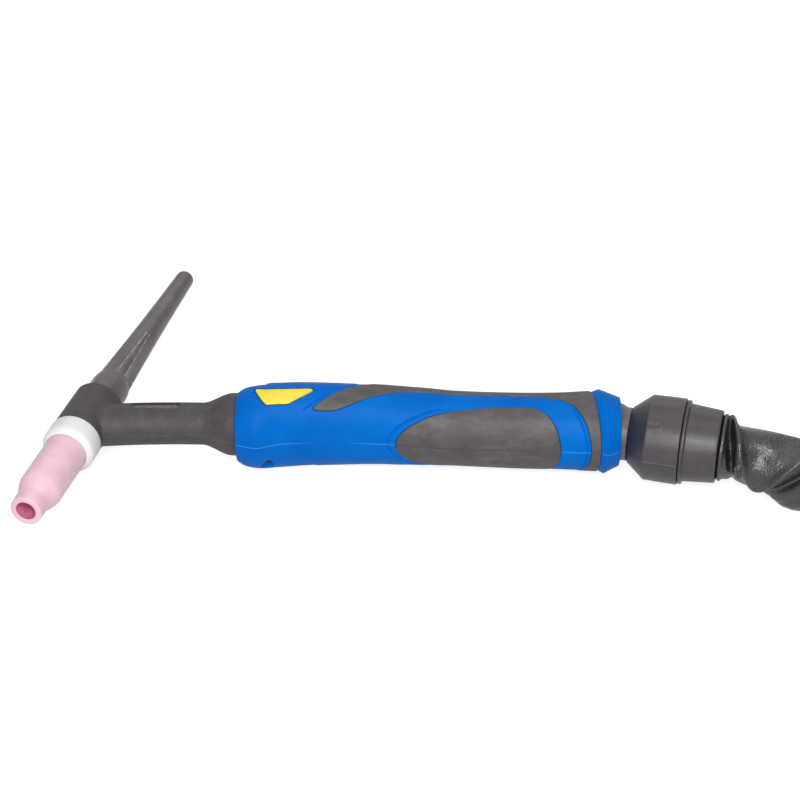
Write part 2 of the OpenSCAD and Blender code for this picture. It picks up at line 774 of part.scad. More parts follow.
plate_corners = [[0.055, 84], [0.217, 96], [0.150, 124], [0.087, 121]];
module name_plate() {
    n = 6;
    m = 4;
    sections = [
        for (i = [0:n])
            let (t = i / n)
            let (s0 = mix(plate_corners[0][0], plate_corners[1][0], t))
            let (a0 = mix(plate_corners[0][1], plate_corners[1][1], t))
            let (s1 = mix(plate_corners[3][0], plate_corners[2][0], t))
            let (a1 = mix(plate_corners[3][1], plate_corners[2][1], t))
            concat(
                [for (j = [0:m]) skin(mix(s0, s1, j / m), mix(a0, a1, j / m), -plate_thickness - 0.1)],
                [for (j = [m:-1:0]) skin(mix(s0, s1, j / m), mix(a0, a1, j / m), -0.1)]
            )
    ];
    color("#f2dc3c") loft(sections, [for (j = [0:m]) j], [for (j = [0:m]) j]);
}

collar_steps = 72;
module rear_collar() {
    front = handle_end + 0.2;
    ridge = handle_end + collar_length * 0.31;
    inner_step = handle_end + 4.3;
    lip = collar_end - 1.7;
    outline = [
        [shell_spigot_r + seat_gap, front, rear_slant], [collar_r - 1.5, front, rear_slant],
        [collar_r, ridge, rear_slant * 0.74], [collar_r - 0.3, ridge + 1, rear_slant * 0.6],
        [collar_r - 3.6, collar_end, 0], [ball_r + 0.15, collar_end, 0], [ball_r + 0.15, lip, 0],
        [seat_r + running_gap, lip, 0], [seat_r + running_gap, inner_step, 0],
        [shell_spigot_r + seat_gap, inner_step, 0]
    ];
    size = len(outline);
    points = [
        for (i = [0:collar_steps - 1])
            for (p = outline)
                round_point(p[1], p[0], 360 * i / collar_steps, p[2])
    ];
    faces = [
        for (i = [0:collar_steps - 1])
            for (j = [0:size - 1])
                let (a = i * size + j, b = i * size + (j + 1) % size)
                let (c = ((i + 1) % collar_steps) * size + j, d = ((i + 1) % collar_steps) * size + (j + 1) % size)
                each [[a, b, d], [a, d, c]]
    ];
    color("#0a63c4") polyhedron(points = points, faces = faces);
}

seat_r = ball_r + 0.9;
seat_half = 3.25;
module ball_seat() {
    color("#d8d4c8") on_handle(ball_x) difference() {
        translate([0, 0, -seat_half]) cylinder(r = seat_r, h = 2 * seat_half);
        sphere(r = ball_r + seat_gap);
    }
}

ball_back = 12.2;
module swivel_ball() {
    color("#46464b") on_socket() difference() {
        union() {
            intersection() {
                sphere(r = ball_r);
                translate([0, 0, -ball_back])
                    cylinder(r = ball_r + 1, h = ball_back + ball_neck_length - free_gap);
            }
            cylinder(r = ball_neck_r, h = ball_neck_length - free_gap);
        }
        translate([0, 0, -ball_r - 1])
            cylinder(r = swivel_tube_r + running_gap, h = ball_r + ball_neck_length + 2);
    }
}

clip_groove = 0.8;
clip_place = ball_back + free_gap;
module swivel_clip() {
    color("silver") on_socket() difference() {
        ring(swivel_tube_r + 1.3, swivel_tube_r - clip_groove + seat_gap, -clip_place - 1, -clip_place);
        translate([0, -1.5, -clip_place - 2]) cube([swivel_tube_r + 3, 3, 3]);
    }
}

cable_bore_r = 7.4;
cone_end = ball_neck_length + socket_cone;
ring_end = cone_end + socket_ring;
module knuckle_housing() {
    tube_front = -clip_place - 2.2;
    inside_r = 15.4;
    floor_t = cone_end + 2;
    color("#46464b") on_socket() difference() {
        turned([
            [0, tube_front], [swivel_tube_r - 0.5, tube_front], [swivel_tube_r, tube_front + 0.5],
            [swivel_tube_r, ball_neck_length], [13.6, ball_neck_length], [socket_r - 0.2, cone_end],
            [socket_r, ring_end], [0, ring_end]
        ]);
        translate([0, 0, tube_front - 1]) cylinder(r = cable_bore_r, h = ring_end - tube_front + 2);
        translate([0, 0, floor_t]) cylinder(r = inside_r, h = ring_end);
        ring(swivel_tube_r + 1, swivel_tube_r - clip_groove, -clip_place - 1.1, -clip_place + 0.05);
    }
}

sleeve_bore_r = 15.1;
sleeve_start = ring_end + 0.4;
sleeve_end = ring_end + sleeve_length;
module cable_sleeve() {
    spigot = 10;
    color("#46464b") on_socket() difference() {
        turned([
            [0, ring_end - spigot], [15.35, ring_end - spigot], [15.35, sleeve_start],
            [socket_r - 0.5, sleeve_start], [socket_r - 0.5, sleeve_start + 1.6],
            [sleeve_r, sleeve_start + 2.4], [sleeve_end_r, sleeve_end], [0, sleeve_end]
        ]);
        translate([0, 0, ring_end - spigot - 1]) cylinder(r = 12.4, h = sleeve_length + spigot + 2);
        translate([0, 0, sheath_tuck]) cylinder(r = sleeve_bore_r, h = sleeve_length);
    }
}
sheath_tuck = sleeve_end - 7;

// Power cable: from the brass fitting in the handle to the ball, and on through the knuckle
fitting_r = 6.6;
fitting_start = tail_end + free_gap;
fitting_end = neck_tube_end + 7;
module cable_fitting() {
    hex_length = 9;
    color("#c8a052") difference() {
        union() {
            on_handle(fitting_start) cylinder(r = fitting_r / cos(30), h = hex_length, $fn = 6);
            on_handle(fitting_start + hex_length)
                cylinder(r = fitting_r - 0.6, h = fitting_end - fitting_start - hex_length);
        }
        on_handle(fitting_start - 1)
            cylinder(r = neck_tube_r + seat_gap, h = neck_tube_end - fitting_start + 1.1);
        on_handle(fitting_start) cylinder(r = gas_bore_r, h = fitting_end);
    }
}
module power_cable_front() {
    color("#2a2a2a") on_handle(fitting_end + 0.05)
        cylinder(r = cable_r, h = ball_x - ball_r - 6 - fitting_end);
}
module power_cable_rear() {
    color("#2a2a2a") on_socket() translate([0, 0, -clip_place - 2])
        cylinder(r = cable_r, h = clip_place + 2 + sheath_tuck - 0.2);
}

// Sheath: the free stretch, then the coil
function socket_point(t) = [ball_x + t * cos(knuckle_yaw), -t * sin(knuckle_yaw), 0];
function coil_r(n) = coil_inner_r + turn_pitch * abs(n - reverse_turn);
function coil_z(n) =
    sheath_z + (sheath_d + turn_gap) * min(max((n - lower_turns) / (climb_end - lower_turns), 0), 1);
exit_point = socket_point(sleeve_end);
entry_turn = 270 - coil_start_angle - knuckle_yaw;
function route_point(s) =
    let (t = min(s, lead_length), u = max(s - lead_length, 0) / bend_r * 180 / PI)
    [
        exit_point[0] + t * cos(knuckle_yaw) + bend_r * (sin(knuckle_yaw + u) - sin(knuckle_yaw)),
        exit_point[1] - t * sin(knuckle_yaw) + bend_r * (cos(knuckle_yaw + u) - cos(knuckle_yaw)),
        sheath_z * ease(s / settle_length)
    ];
route_length = lead_length + bend_r * entry_turn * PI / 180;
coil_entry = route_point(route_length);
coil_run_in = [cos(knuckle_yaw + entry_turn), -sin(knuckle_yaw + entry_turn), 0];
coil_middle = [
    coil_entry[0] + sheath_d * coil_run_in[0] - coil_r(0) * cos(coil_start_angle),
    coil_entry[1] + sheath_d * coil_run_in[1] - coil_r(0) * sin(coil_start_angle)
];
function coil_point(n) =
    let (a = coil_start_angle + 360 * n)
    [coil_middle[0] + coil_r(n) * cos(a), coil_middle[1] + coil_r(n) * sin(a), coil_z(n)];
function coil_run(n) = unit(coil_point(n + 0.002) - coil_point(n - 0.002));
coil_exit_run = coil_run(all_turns - 0.002);
coil_exit = coil_point(all_turns) + sheath_d * coil_exit_run;

route_steps = 9;
sheath_path = concat(
    [socket_point(sheath_tuck + 0.1), exit_point],
    [for (i = [1:route_steps - 1]) route_point(route_length * i / route_steps)],
    [coil_entry - 1 * coil_run_in, coil_entry]
);
coil_steps = round(all_turns * turn_steps);
coil_path = concat(
    [coil_entry + 0.02 * coil_run_in],
    [for (i = [0:coil_steps]) coil_point(all_turns * i / coil_steps)],
    [coil_exit]
);

module leather_sheath() {
    color("#1c1c1e") tube(sheath_path, sheath_r, 12);
}
module sheath_coil() {
    color("#1c1c1e") tube(coil_path, sheath_r, 6);
}

function gap_of(a, b) = norm(a - b) - sheath_d;
coil_gap = min([
    for (i = [0:2:len(coil_path) - 1])
        for (j = [i + turn_steps * 2 / 3:1:len(coil_path) - 1]) gap_of(coil_path[i], coil_path[j])
]);
function path_length(path, i = 1) =
    i >= len(path) ? 0 : norm(path[i] - path[i - 1]) + path_length(path, i + 1);

// The end of the cable: a bend relief boot and a current plug
module on_cable_end() {
    translate(coil_exit) rotate([0, 0, atan2(coil_exit_run[1], coil_exit_run[0])])
        rotate([0, 90, 0]) children();
}
module connector_boot() {
    ribs = 5;
    rib_pitch = (boot_length - 12) / ribs;
    color("#2a2a2a") on_cable_end() difference() {
        turned([
            [0, 0.05], [sheath_r - 0.4, 0.05], [sheath_r - 0.4, 5],
            [plug_body_r + 0.6, boot_length], [0, boot_length]
        ]);
        for (i = [0:ribs - 1])
            translate([0, 0, 7 + rib_pitch * i]) ring(sheath_r + 1, plug_body_r - 0.6, 0, rib_pitch * 0.35);
    }
}
module current_plug() {
    body_end = boot_length + plug_body_length;
    color("#b08d4a") on_cable_end() {
        turned([
            [0, boot_length + 0.05], [plug_body_r - 0.5, boot_length + 0.05],
            [plug_body_r, boot_length + 1], [plug_body_r, body_end - 8],
            [plug_body_r - 2, body_end - 7], [plug_body_r - 2, body_end - 1],
            [plug_body_r - 3, body_end], [0, body_end]
        ]);
        translate([0, 0, body_end - 1]) cylinder(r = pin_r, h = pin_length - pin_chamfer + 1);
        translate([0, 0, body_end + pin_length - pin_chamfer])
            cylinder(r1 = pin_r, r2 = pin_r - pin_chamfer, h = pin_chamfer);
    }
}

echo(str("coil gap ", coil_gap, " mm, sheath ", path_length(sheath_path) + path_length(coil_path), " mm"));
pin_middle = boot_length + plug_body_length + (pin_length - pin_chamfer) / 2;
echo(str("plug pin's middle ", coil_exit + pin_middle * coil_exit_run));
echo(str("plug direction ", coil_exit_run, ", coil entry ", coil_entry, ", ball ", ball_x));

gas_nozzle();
cup_insulator();
collet_body();
collet();
torch_body_core();
torch_body_cover();
back_cap();
back_cap_oring();
handle_shell_upper();
handle_shell_lower();
soft_grip_upper();
soft_grip_lower();
palm_grip_upper();
palm_grip_lower();
rear_collar();
name_plate();
switch_panel();
trigger_button();
trigger_spring();
microswitch();
handle_screws();
cable_fitting();
power_cable_front();
ball_seat();
swivel_ball();
swivel_clip();
knuckle_housing();
cable_sleeve();
power_cable_rear();
leather_sheath();
sheath_coil();
connector_boot();
current_plug();
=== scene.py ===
import math

import bmesh
import bpy
import numpy as np
from mathutils import Matrix, Vector
from mathutils.geometry import delaunay_2d_cdt


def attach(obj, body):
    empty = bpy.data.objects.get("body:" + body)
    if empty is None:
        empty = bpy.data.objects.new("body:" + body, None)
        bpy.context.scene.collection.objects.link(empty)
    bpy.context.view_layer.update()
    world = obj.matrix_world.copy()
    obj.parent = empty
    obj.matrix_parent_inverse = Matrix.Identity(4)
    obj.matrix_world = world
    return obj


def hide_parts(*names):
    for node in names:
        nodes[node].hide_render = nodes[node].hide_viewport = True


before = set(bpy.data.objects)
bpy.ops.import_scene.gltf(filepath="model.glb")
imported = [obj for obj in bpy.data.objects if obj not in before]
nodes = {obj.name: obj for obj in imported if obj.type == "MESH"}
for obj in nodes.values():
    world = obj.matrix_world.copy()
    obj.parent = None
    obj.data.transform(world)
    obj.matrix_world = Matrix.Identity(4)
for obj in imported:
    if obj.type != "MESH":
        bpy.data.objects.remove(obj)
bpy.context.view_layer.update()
bpy.ops.object.select_all(action="DESELECT")

# Everything below is worked out in millimetres and made in metres.
MM = 0.001

# ---------------------------------------------------------------- camera
LENS = 92.62
CAMERA_PLACE = (184.27, -816.00, 577.41)
CAMERA_HEADING, CAMERA_DOWN, CAMERA_ROLL = 2.204, 34.503, -0.181


def degrees_about(axis, angle):
    return Matrix.Rotation(math.radians(angle), 4, axis)


def linked(name, data):
    """A new object in the scene."""
    made = bpy.data.objects.new(name, data)
    bpy.context.scene.collection.objects.link(made)
    return made


def set_camera():
    data = bpy.data.cameras.new("camera")
    data.sensor_width = 36
    data.lens = LENS
    data.clip_start = 0.05
    data.clip_end = 20
    camera = linked("camera", data)
    place = Matrix.Translation(Vector(CAMERA_PLACE) * MM)
    turn = degrees_about("Z", CAMERA_HEADING) @ degrees_about("X", 90 - CAMERA_DOWN) @ degrees_about("Z", CAMERA_ROLL)
    camera.matrix_world = place @ turn
    bpy.context.scene.camera = camera


set_camera()


# ---------------------------------------------------------------- materials
def srgb(hex_value):
    """A colour written as sRGB hex, as Blender's linear values."""
    parts = [int(hex_value[i : i + 2], 16) / 255 for i in (1, 3, 5)]
    return (*[c / 12.92 if c <= 0.04045 else ((c + 0.055) / 1.055) ** 2.4 for c in parts], 1.0)


def add_node(tree, kind, settings=None, **links):
    """One node, its settings, its socket values, and links given as (node, output) pairs."""
    made = tree.nodes.new("ShaderNode" + kind)
    for name, value in (settings or {}).items():
        if isinstance(name, str) and hasattr(made, name):
            setattr(made, name, value)
        else:
            made.inputs[name].default_value = value
    for name, source in links.items():
        key = int(name[1:]) if name[0] == "i" and name[1:].isdigit() else name
        tree.links.new(source[0].outputs[source[1]], made.inputs[key])
    return made


def feed(tree, source, node, socket):
    tree.links.new(source[0].outputs[source[1]], node.inputs[socket])


def new_finish(name, colour, roughness, **more):
    """A material with one Principled shader, and its tree, shader and coordinates to build on."""
    material = bpy.data.materials.new(name)
    material.use_nodes = True
    tree = material.node_tree
    shader = tree.nodes["Principled BSDF"]
    shader.inputs["Base Color"].default_value = srgb(colour)
    shader.inputs["Roughness"].default_value = roughness
    for key, value in more.items():
        shader.inputs[key.replace("_", " ")].default_value = value
    return material, tree, shader, (add_node(tree, "TexCoord"), "Object")


def ramp(tree, source, stops):
    """A colour ramp on a value, with stops given as (place, colour or grey level)."""
    made = add_node(tree, "ValToRGB", i0=source)
    for element, (place, colour) in zip(made.color_ramp.elements, stops):
        element.position = place
        element.color = srgb(colour) if isinstance(colour, str) else (colour, colour, colour, 1)
    return made, 0


def cells(tree, coords, size_mm, detail=2, roughness=0.5):
    """Noise whose cells are this many millimetres across."""
    settings = {"Scale": 1 / (size_mm * MM), "Detail": detail, "Roughness": roughness}
    return add_node(tree, "TexNoise", settings, Vector=coords), 0


def span(tree, source, low, high, to_low, to_high):
    """A value taken from one span to another, and held at its ends."""
    settings = {"From Min": low, "From Max": high, "To Min": to_low, "To Max": to_high}
    return add_node(tree, "MapRange", settings, Value=source), 0


def sums(tree, operation, first, second):
    """One sum on a value and a second value or a number."""
    if isinstance(second, tuple):
        return add_node(tree, "Math", {"operation": operation}, i0=first, i1=second), 0
    return add_node(tree, "Math", {"operation": operation, 1: second}, i0=first), 0


def mottled(tree, coords, colour, other, size_mm):
    """A colour that varies softly between two shades, in patches of the given size."""
    return ramp(tree, cells(tree, coords, size_mm, 4, 0.6), [(0.3, other), (0.7, colour)])


def rough_skin(tree, shader, coords, size_mm, height_mm, gloss=None):
    """Fine relief of a moulded or grained surface, and roughness that varies with it."""
    grain = cells(tree, coords, size_mm, 3)
    bump = add_node(tree, "Bump", {"Strength": 1.0, "Distance": height_mm * MM}, Height=grain)
    feed(tree, (bump, 0), shader, "Normal")
    if gloss:
        feed(tree, span(tree, grain, 0.3, 0.7, *gloss), shader, "Roughness")


def over(tree, mask, below, colour):
    """A fixed colour laid over another where the mask is white."""
    made = add_node(tree, "Mix", {"data_type": "RGBA", 7: srgb(colour)}, i0=mask, i6=below)
    return made, 2


def rubs(tree, below, coords, size_mm, detail, roughness, stops, colour):
    """Rubbed or dusty patches: only the highest part of the noise shows."""
    return over(tree, ramp(tree, cells(tree, coords, size_mm, detail, roughness), stops), below, colour)


def drawn_out(tree, coords, share):
    """Coordinates that draw a pattern out along the handle."""
    return add_node(tree, "Mapping", {"Scale": (share, 1, 1)}, Vector=coords), 0


def seam_mask(tree, coords, half_width_mm, soft_mm):
    """1 on the parting line of the two halves, the plane z = 0, and 0 away from it."""
    parts = add_node(tree, "SeparateXYZ", Vector=coords)
    away = add_node(tree, "Math", {"operation": "ABSOLUTE"}, i0=(parts, 2))
    return span(tree, (away, 0), half_width_mm * MM, (half_width_mm + soft_mm) * MM, 1.0, 0.0)


def plain(name, base, roughness, shades, patch_mm, grain=None, gloss=None, depth=None):
    """An even material in two shades, with a fine grain and, where depth is given, light that goes in."""
    material, tree, shader, coords = new_finish(name, base, roughness)
    if depth:
        shader.inputs["Subsurface Weight"].default_value = depth[0]
        shader.inputs["Subsurface Radius"].default_value = depth[1:]
    feed(tree, mottled(tree, coords, *shades, patch_mm), shader, "Base Color")
    if grain:
        rough_skin(tree, shader, coords, *grain, gloss)
    return material


def moulded_rubber(name="moulded rubber", colour="#4C464A", other="#3D383C", size_mm=6):
    # Moulded silicone rubber of head and neck: matt, dusty in patches, with tiny pale specks and a faint
    # mould line in the parting plane.
    material, tree, shader, coords = new_finish(name, colour, 0.6)
    shade = mottled(tree, coords, colour, other, size_mm)
    dusty = rubs(tree, shade, coords, 0.9, 2, 0.5, [(0.70, 0.0), (0.76, 0.55)], "#9A9090")
    faint = sums(tree, "MULTIPLY", seam_mask(tree, coords, 0.05, 0.2), 0.16)
    feed(tree, over(tree, faint, dusty, "#8F8789"), shader, "Base Color")
    rough_skin(tree, shader, coords, 0.7, 0.06, (0.5, 0.72))
    return material


def phenolic(name, colour, other):
    # Moulded phenolic of the back cap: dark purple-brown, smooth, with a soft gloss.
    return plain(name, colour, 0.28, (colour, other), 8, (2.5, 0.01), (0.22, 0.34))


def blue_nylon(name, colour, other, flash_highlight=None):
    # Moulded blue nylon: satin, a little uneven, and, where given, a pale line on the flash along the parting plane:
    # a painted highlight.
    material, tree, shader, coords = new_finish(name, colour, 0.4, Specular_IOR_Level=0.06)
    shade = mottled(tree, coords, colour, other, 22)
    stops = [(0.66, 0.0), (0.78, 0.35)]
    skin_colour = rubs(tree, shade, drawn_out(tree, coords, 0.3), 2.2, 6, 0.75, stops, "#4A97E0")
    if flash_highlight:
        # the pale seam line: painted highlight on the flash
        skin_colour = over(tree, seam_mask(tree, coords, 0.08, 0.12), skin_colour, flash_highlight)
    feed(tree, skin_colour, shader, "Base Color")
    rough_skin(tree, shader, coords, 0.6, 0.02, (0.36, 0.5))
    return material


def grip_rubber():
    # Overmoulded elastomer: matt grey-brown black with rubbed paler streaks along the handle.
    material, tree, shader, coords = new_finish("grip elastomer", "#4E494B", 0.55)
    shade = mottled(tree, coords, "#565052", "#464143", 9)
    streaks = rubs(tree, shade, drawn_out(tree, coords, 0.35), 5, 7, 0.7, [(0.5, 0.0), (0.75, 0.5)], "#7D7375")
    feed(tree, over(tree, seam_mask(tree, coords, 0.05, 0.1), streaks, "#1C1A1C"), shader, "Base Color")
    rough_skin(tree, shader, coords, 0.5, 0.03, (0.46, 0.62))
    return material


def dark_nylon(name, colour, other):
    # Glass-filled nylon of the knuckle: dark grey, satin, with fine scratches round it.
    material, tree, shader, coords = new_finish(name, colour, 0.42)
    shade = mottled(tree, coords, colour, other, 7)
    scratched = rubs(tree, shade, coords, 1.6, 6, 0.8, [(0.62, 0.0), (0.8, 0.4)], "#7B7377")
    feed(tree, scratched, shader, "Base Color")
    rough_skin(tree, shader, coords, 0.6, 0.03, (0.32, 0.44))
    return material


def pebbled_leather():
    # Black coated leather with a pebbled grain, each pebble 0.8 mm across and glossy on its top, its colour painted
    # lighter on the top and darker between pebbles as highlight and shade.
    material, tree, shader, coords = new_finish("pebbled leather", "#1D1B1C", 0.25, Specular_IOR_Level=0.95)
    along = (coords[0], "UV")
    warp = (cells(tree, along, 2.5)[0], 1)
    settings = {"data_type": "RGBA", "blend_type": "LINEAR_LIGHT", 0: 0.0006}
    warped = add_node(tree, "Mix", settings, i6=along, i7=warp)
    settings = {"feature": "SMOOTH_F1", "Scale": 1 / (0.8 * MM)}
    pebbles = (add_node(tree, "TexVoronoi", settings, Vector=(warped, 2)), 0)
    fine = add_node(tree, "Bump", {"Strength": 1.0, "Distance": 0.0002, "invert": True}, Height=pebbles)
    creases = cells(tree, along, 6, 3)
    coarse = add_node(tree, "Bump", {"Strength": 0.5, "Distance": 0.0005}, Height=creases, Normal=(fine, 0))
    feed(tree, (coarse, 0), shader, "Normal")
    # pebble tops painted lighter and the dips between them darker: painted highlight and shade
    feed(tree, ramp(tree, pebbles, [(0.15, "#2D2729"), (0.6, "#0F0C0D")]), shader, "Base Color")
    feed(tree, span(tree, pebbles, 0.1, 0.6, 0.16, 0.42), shader, "Roughness")
    return material


def turned_metal(name, colour, roughness):
    # Turned metal: fine tool marks and a slightly uneven lustre.
    material, tree, shader, coords = new_finish(name, colour, roughness, Metallic=1.0)
    marks = cells(tree, coords, 0.35, 3)
    bump = add_node(tree, "Bump", {"Strength": 0.4, "Distance": 0.00002}, Height=marks)
    feed(tree, (bump, 0), shader, "Normal")
    feed(tree, span(tree, marks, 0.3, 0.7, roughness * 0.8, roughness * 1.25), shader, "Roughness")
    return material


finish = {
    # Fired pink alumina: pale, dense, with a faint cloudiness and a slight gloss.
    "alumina": plain(
        "pink alumina", "#F9CFDD", 0.42, ("#FED8E5", "#F9C6D8"), 9, (0.5, 0.02), depth=(0.15, 0.004, 0.0016, 0.002)
    ),
    # The same ceramic deep in the bore, painted darker as shade, since light reaches it there only off itself.
    "alumina_painted_shade": plain("pink alumina in painted shade", "#E488AA", 0.5, ("#E88FB0", "#CC668E"), 5, (0.5, 0.02)),
    # Turned PTFE: waxy white with very fine turning marks.
    "ptfe": plain(
        "turned PTFE", "#F4F4F3", 0.4, ("#FCFCFB", "#F7F7F6"), 14, (0.8, 0.01), depth=(0.2, 0.003, 0.003, 0.003)
    ),
    "rubber": moulded_rubber(),
    "rubbed": moulded_rubber("rubbed rubber", "#8A7F80", "#453F42", 1.1),
    "shaded": moulded_rubber("rubber in shade", "#211F21", "#1B191B"),
    "phenolic": phenolic("moulded phenolic", "#665B60", "#544A4F"),
    # Pale phenolic for the flutes' sharp edges: rubbed, and painted lighter as their highlight.
    "arris_wear_and_highlight": phenolic("polished phenolic with painted highlight", "#CFC3C5", "#B5A9AC"),
    "blue": blue_nylon("blue nylon", "#0074D3", "#0066C8", "#5C9BDC"),
    # Blue nylon darkened as painted shade, for the narrow gap round the plate.
    "blue_painted_shade": blue_nylon("blue nylon in painted shade", "#003A7C", "#003068"),
    "grip": grip_rubber(),
    # Yellow film over a plastic plate: even, in two close tones in soft patches.
    "yellow": plain("yellow film", "#FBE33C", 0.35, ("#FBE64C", "#F7DD40"), 6),
    "dark": dark_nylon("dark nylon", "#4B4549", "#3F3A3E"),
    "black": dark_nylon("black nylon", "#2A292B", "#222123"),
    "cone": dark_nylon("blue-black nylon", "#2F2E39", "#27262F"),
    # Paler worn nylon: the ball's own grey, and on the knuckle's raised rim and mould line wear with a painted
    # highlight.
    "worn": dark_nylon("worn nylon with painted highlight", "#6A6467", "#524D50"),
    "leather": pebbled_leather(),
    "brass": turned_metal("turned brass", "#C9A45C", 0.28),
    "copper": turned_metal("drawn copper", "#C27C52", 0.3),
    "steel": turned_metal("zinc-plated steel", "#B4B5B8", 0.3),
    # Steel darkened so that the screw holes read dark: painted shade over the screw heads.
    "steel_in_painted_shade": turned_metal("steel darkened as painted shade", "#3C3E42", 0.4),
    # Natural acetal of the ball seat: creamy and waxy.
    "acetal": plain("natural acetal", "#DAD6C8", 0.35, ("#DCD8CB", "#D2CDBE"), 10, (0.8, 0.01)),
    # Extruded or moulded rubber of cable, boot and seal: black, matt, faintly dusty.
    "cable": plain("cable rubber", "#232324", 0.6, ("#282829", "#1D1D1E"), 5, (0.7, 0.05), (0.5, 0.7)),
}


# ---------------------------------------------------------------- making pieces
def select_only(piece):
    bpy.ops.object.select_all(action="DESELECT")
    piece.select_set(True)
    bpy.context.view_layer.objects.active = piece


def apply_step(piece, kind, **settings):
    """One modifier, applied at once."""
    select_only(piece)
    step = piece.modifiers.new("step", kind)
    for name, value in settings.items():
        setattr(step, name, value)
    bpy.ops.object.modifier_apply(modifier=step.name)
    piece.select_set(False)


def finished(piece, material, body, replaced, smooth):
    """Gives a new piece its material, its shading, the body it rides on and the nodes it stands for."""
    piece.data.materials.clear()
    piece.data.materials.append(finish[material])
    select_only(piece)
    bpy.ops.object.shade_smooth_by_angle(angle=math.radians(smooth))
    piece.select_set(False)
    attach(piece, body)
    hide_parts(*replaced)


def second_finishes(piece, *names, frame_of=Matrix()):
    """More materials for some of a piece's faces, and the middles of its faces in millimetres."""
    for name in names:
        piece.data.materials.append(finish[name])
    back = frame_of.inverted()
    return np.array([tuple(back @ face.center) for face in piece.data.polygons]) / MM


def made_from(name, points, faces, edges=()):
    """An object from points in millimetres and faces."""
    mesh = bpy.data.meshes.new(name)
    mesh.from_pydata([tuple(c * MM for c in p) for p in points], edges, faces)
    return linked(name, mesh)


def tidy_mesh(piece, merge_mm=0.002):
    """Doubles merged, and faces turned outwards."""
    work = bmesh.new()
    work.from_mesh(piece.data)
    if merge_mm:
        bmesh.ops.remove_doubles(work, verts=work.verts, dist=merge_mm * MM)
        bmesh.ops.dissolve_degenerate(work, edges=work.edges, dist=merge_mm * MM * 0.5)
    bmesh.ops.recalc_face_normals(work, faces=work.faces)
    work.to_mesh(piece.data)
    work.free()
    return piece


def lofted(name, rings, ends=True):
    """A skin through closed rings of points; the ends are capped with one face each."""
    count = len(rings[0])
    points = [p for ring in rings for p in ring]
    faces = []
    for i in range(len(rings) - 1):
        for k in range(count):
            n = (k + 1) % count
            faces.append((i * count + k, i * count + n, (i + 1) * count + n, (i + 1) * count + k))
    if ends:
        faces.append(tuple(range(count))[::-1])
        faces.append(tuple((len(rings) - 1) * count + k for k in range(count)))
    return tidy_mesh(made_from(name, points, faces))


def turned(name, outline, place, steps):
    """A turned piece: the outline's (radius, height) points spun about the local z axis, then put in place."""
    edges = [(i, i + 1) for i in range(len(outline) - 1)]
    piece = made_from(name, [(r, 0, z) for r, z in outline], [], edges)
    select_only(piece)
    bpy.ops.object.mode_set(mode="EDIT")
    bpy.ops.mesh.select_all(action="SELECT")
    bpy.ops.mesh.spin(steps=steps, angle=2 * math.pi, center=(0, 0, 0), axis=(0, 0, 1), use_auto_merge=True)
    bpy.ops.mesh.select_all(action="SELECT")
    bpy.ops.mesh.remove_doubles(threshold=0.000003)
    bpy.ops.mesh.normals_make_consistent(inside=False)
    bpy.ops.object.mode_set(mode="OBJECT")
    piece.select_set(False)
    piece.data.transform(place)
    return piece


def cut_with(piece, tool, operation="DIFFERENCE"):
    """Boolean with a tool that is used up."""
    apply_step(piece, "BOOLEAN", operation=operation, solver="EXACT", object=tool)
    bpy.data.objects.remove(tool)


def bar(radius, depth, place=(0, 0, 0), vertices=64):
    """A round bar along z, with its middle in a place."""
    bpy.ops.mesh.primitive_cylinder_add(
        vertices=vertices, radius=radius * MM, depth=depth * MM, location=[c * MM for c in place]
    )
    return bpy.context.object


def ring_of(radii, angles, t):
    """Points round the z axis at height t, at the given radii and angles in degrees."""
    return [(r * math.cos(a), r * math.sin(a), t) for r, a in zip(radii, np.radians(angles))]


def ease(t):
    t = min(max(t, 0.0), 1.0)
    return t * t * (3 - 2 * t)


def eased(t):
    """The same for arrays."""
    t = np.clip(t, 0, 1)
    return t * t * (3 - 2 * t)


def mix(a, b, t):
    return a + (b - a) * t


# Frames: along the head axis, along the handle, and along the knuckle from the ball's centre.
HEAD_TILT = 77
ALONG = degrees_about("Y", 90)
HEAD = degrees_about("Z", HEAD_TILT) @ ALONG
BALL_X, BALL_R = 254.0, 15
YAW = 12.0
KNUCKLE = Matrix.Translation((BALL_X * MM, 0, 0)) @ degrees_about("Z", -YAW) @ ALONG

# ---------------------------------------------------------------- the sheathed cable
SHEATH_D = 30.0
FLOOR_Z = -22.4
SHEATH_Z = FLOOR_Z + SHEATH_D / 2
SLEEVE_END = 55.8
SHEATH_TUCK = 48.8
LEAD = 12.0
BEND_R = 150.0
SETTLE = 50.0
START_ANGLE = 224.0
PITCH = 30.7
COIL_R = 117.0
LOWER_TURNS = 1.8
UPPER_TURNS = 1.85
CLIMB_END = LOWER_TURNS + 0.5
ALL_TURNS = CLIMB_END + UPPER_TURNS
COIL_STEPS = 340
LEATHER_R = 15.1
CUFF_END = -2.3
SIDES = 128
GIRTH_UV = 0.0942


def knuckle_point(t):
    a = math.radians(YAW)
    return Vector((BALL_X + t * math.cos(a), -t * math.sin(a), 0))


def route_point(s):
    yaw = math.radians(YAW)
    t, u = min(s, LEAD), max(s - LEAD, 0) / BEND_R
    start = knuckle_point(SLEEVE_END)
    return Vector(
        (
            start.x + t * math.cos(yaw) + BEND_R * (math.sin(yaw + u) - math.sin(yaw)),
            start.y - t * math.sin(yaw) + BEND_R * (math.cos(yaw + u) - math.cos(yaw)),
            SHEATH_Z * ease(s / SETTLE),
        )
    )


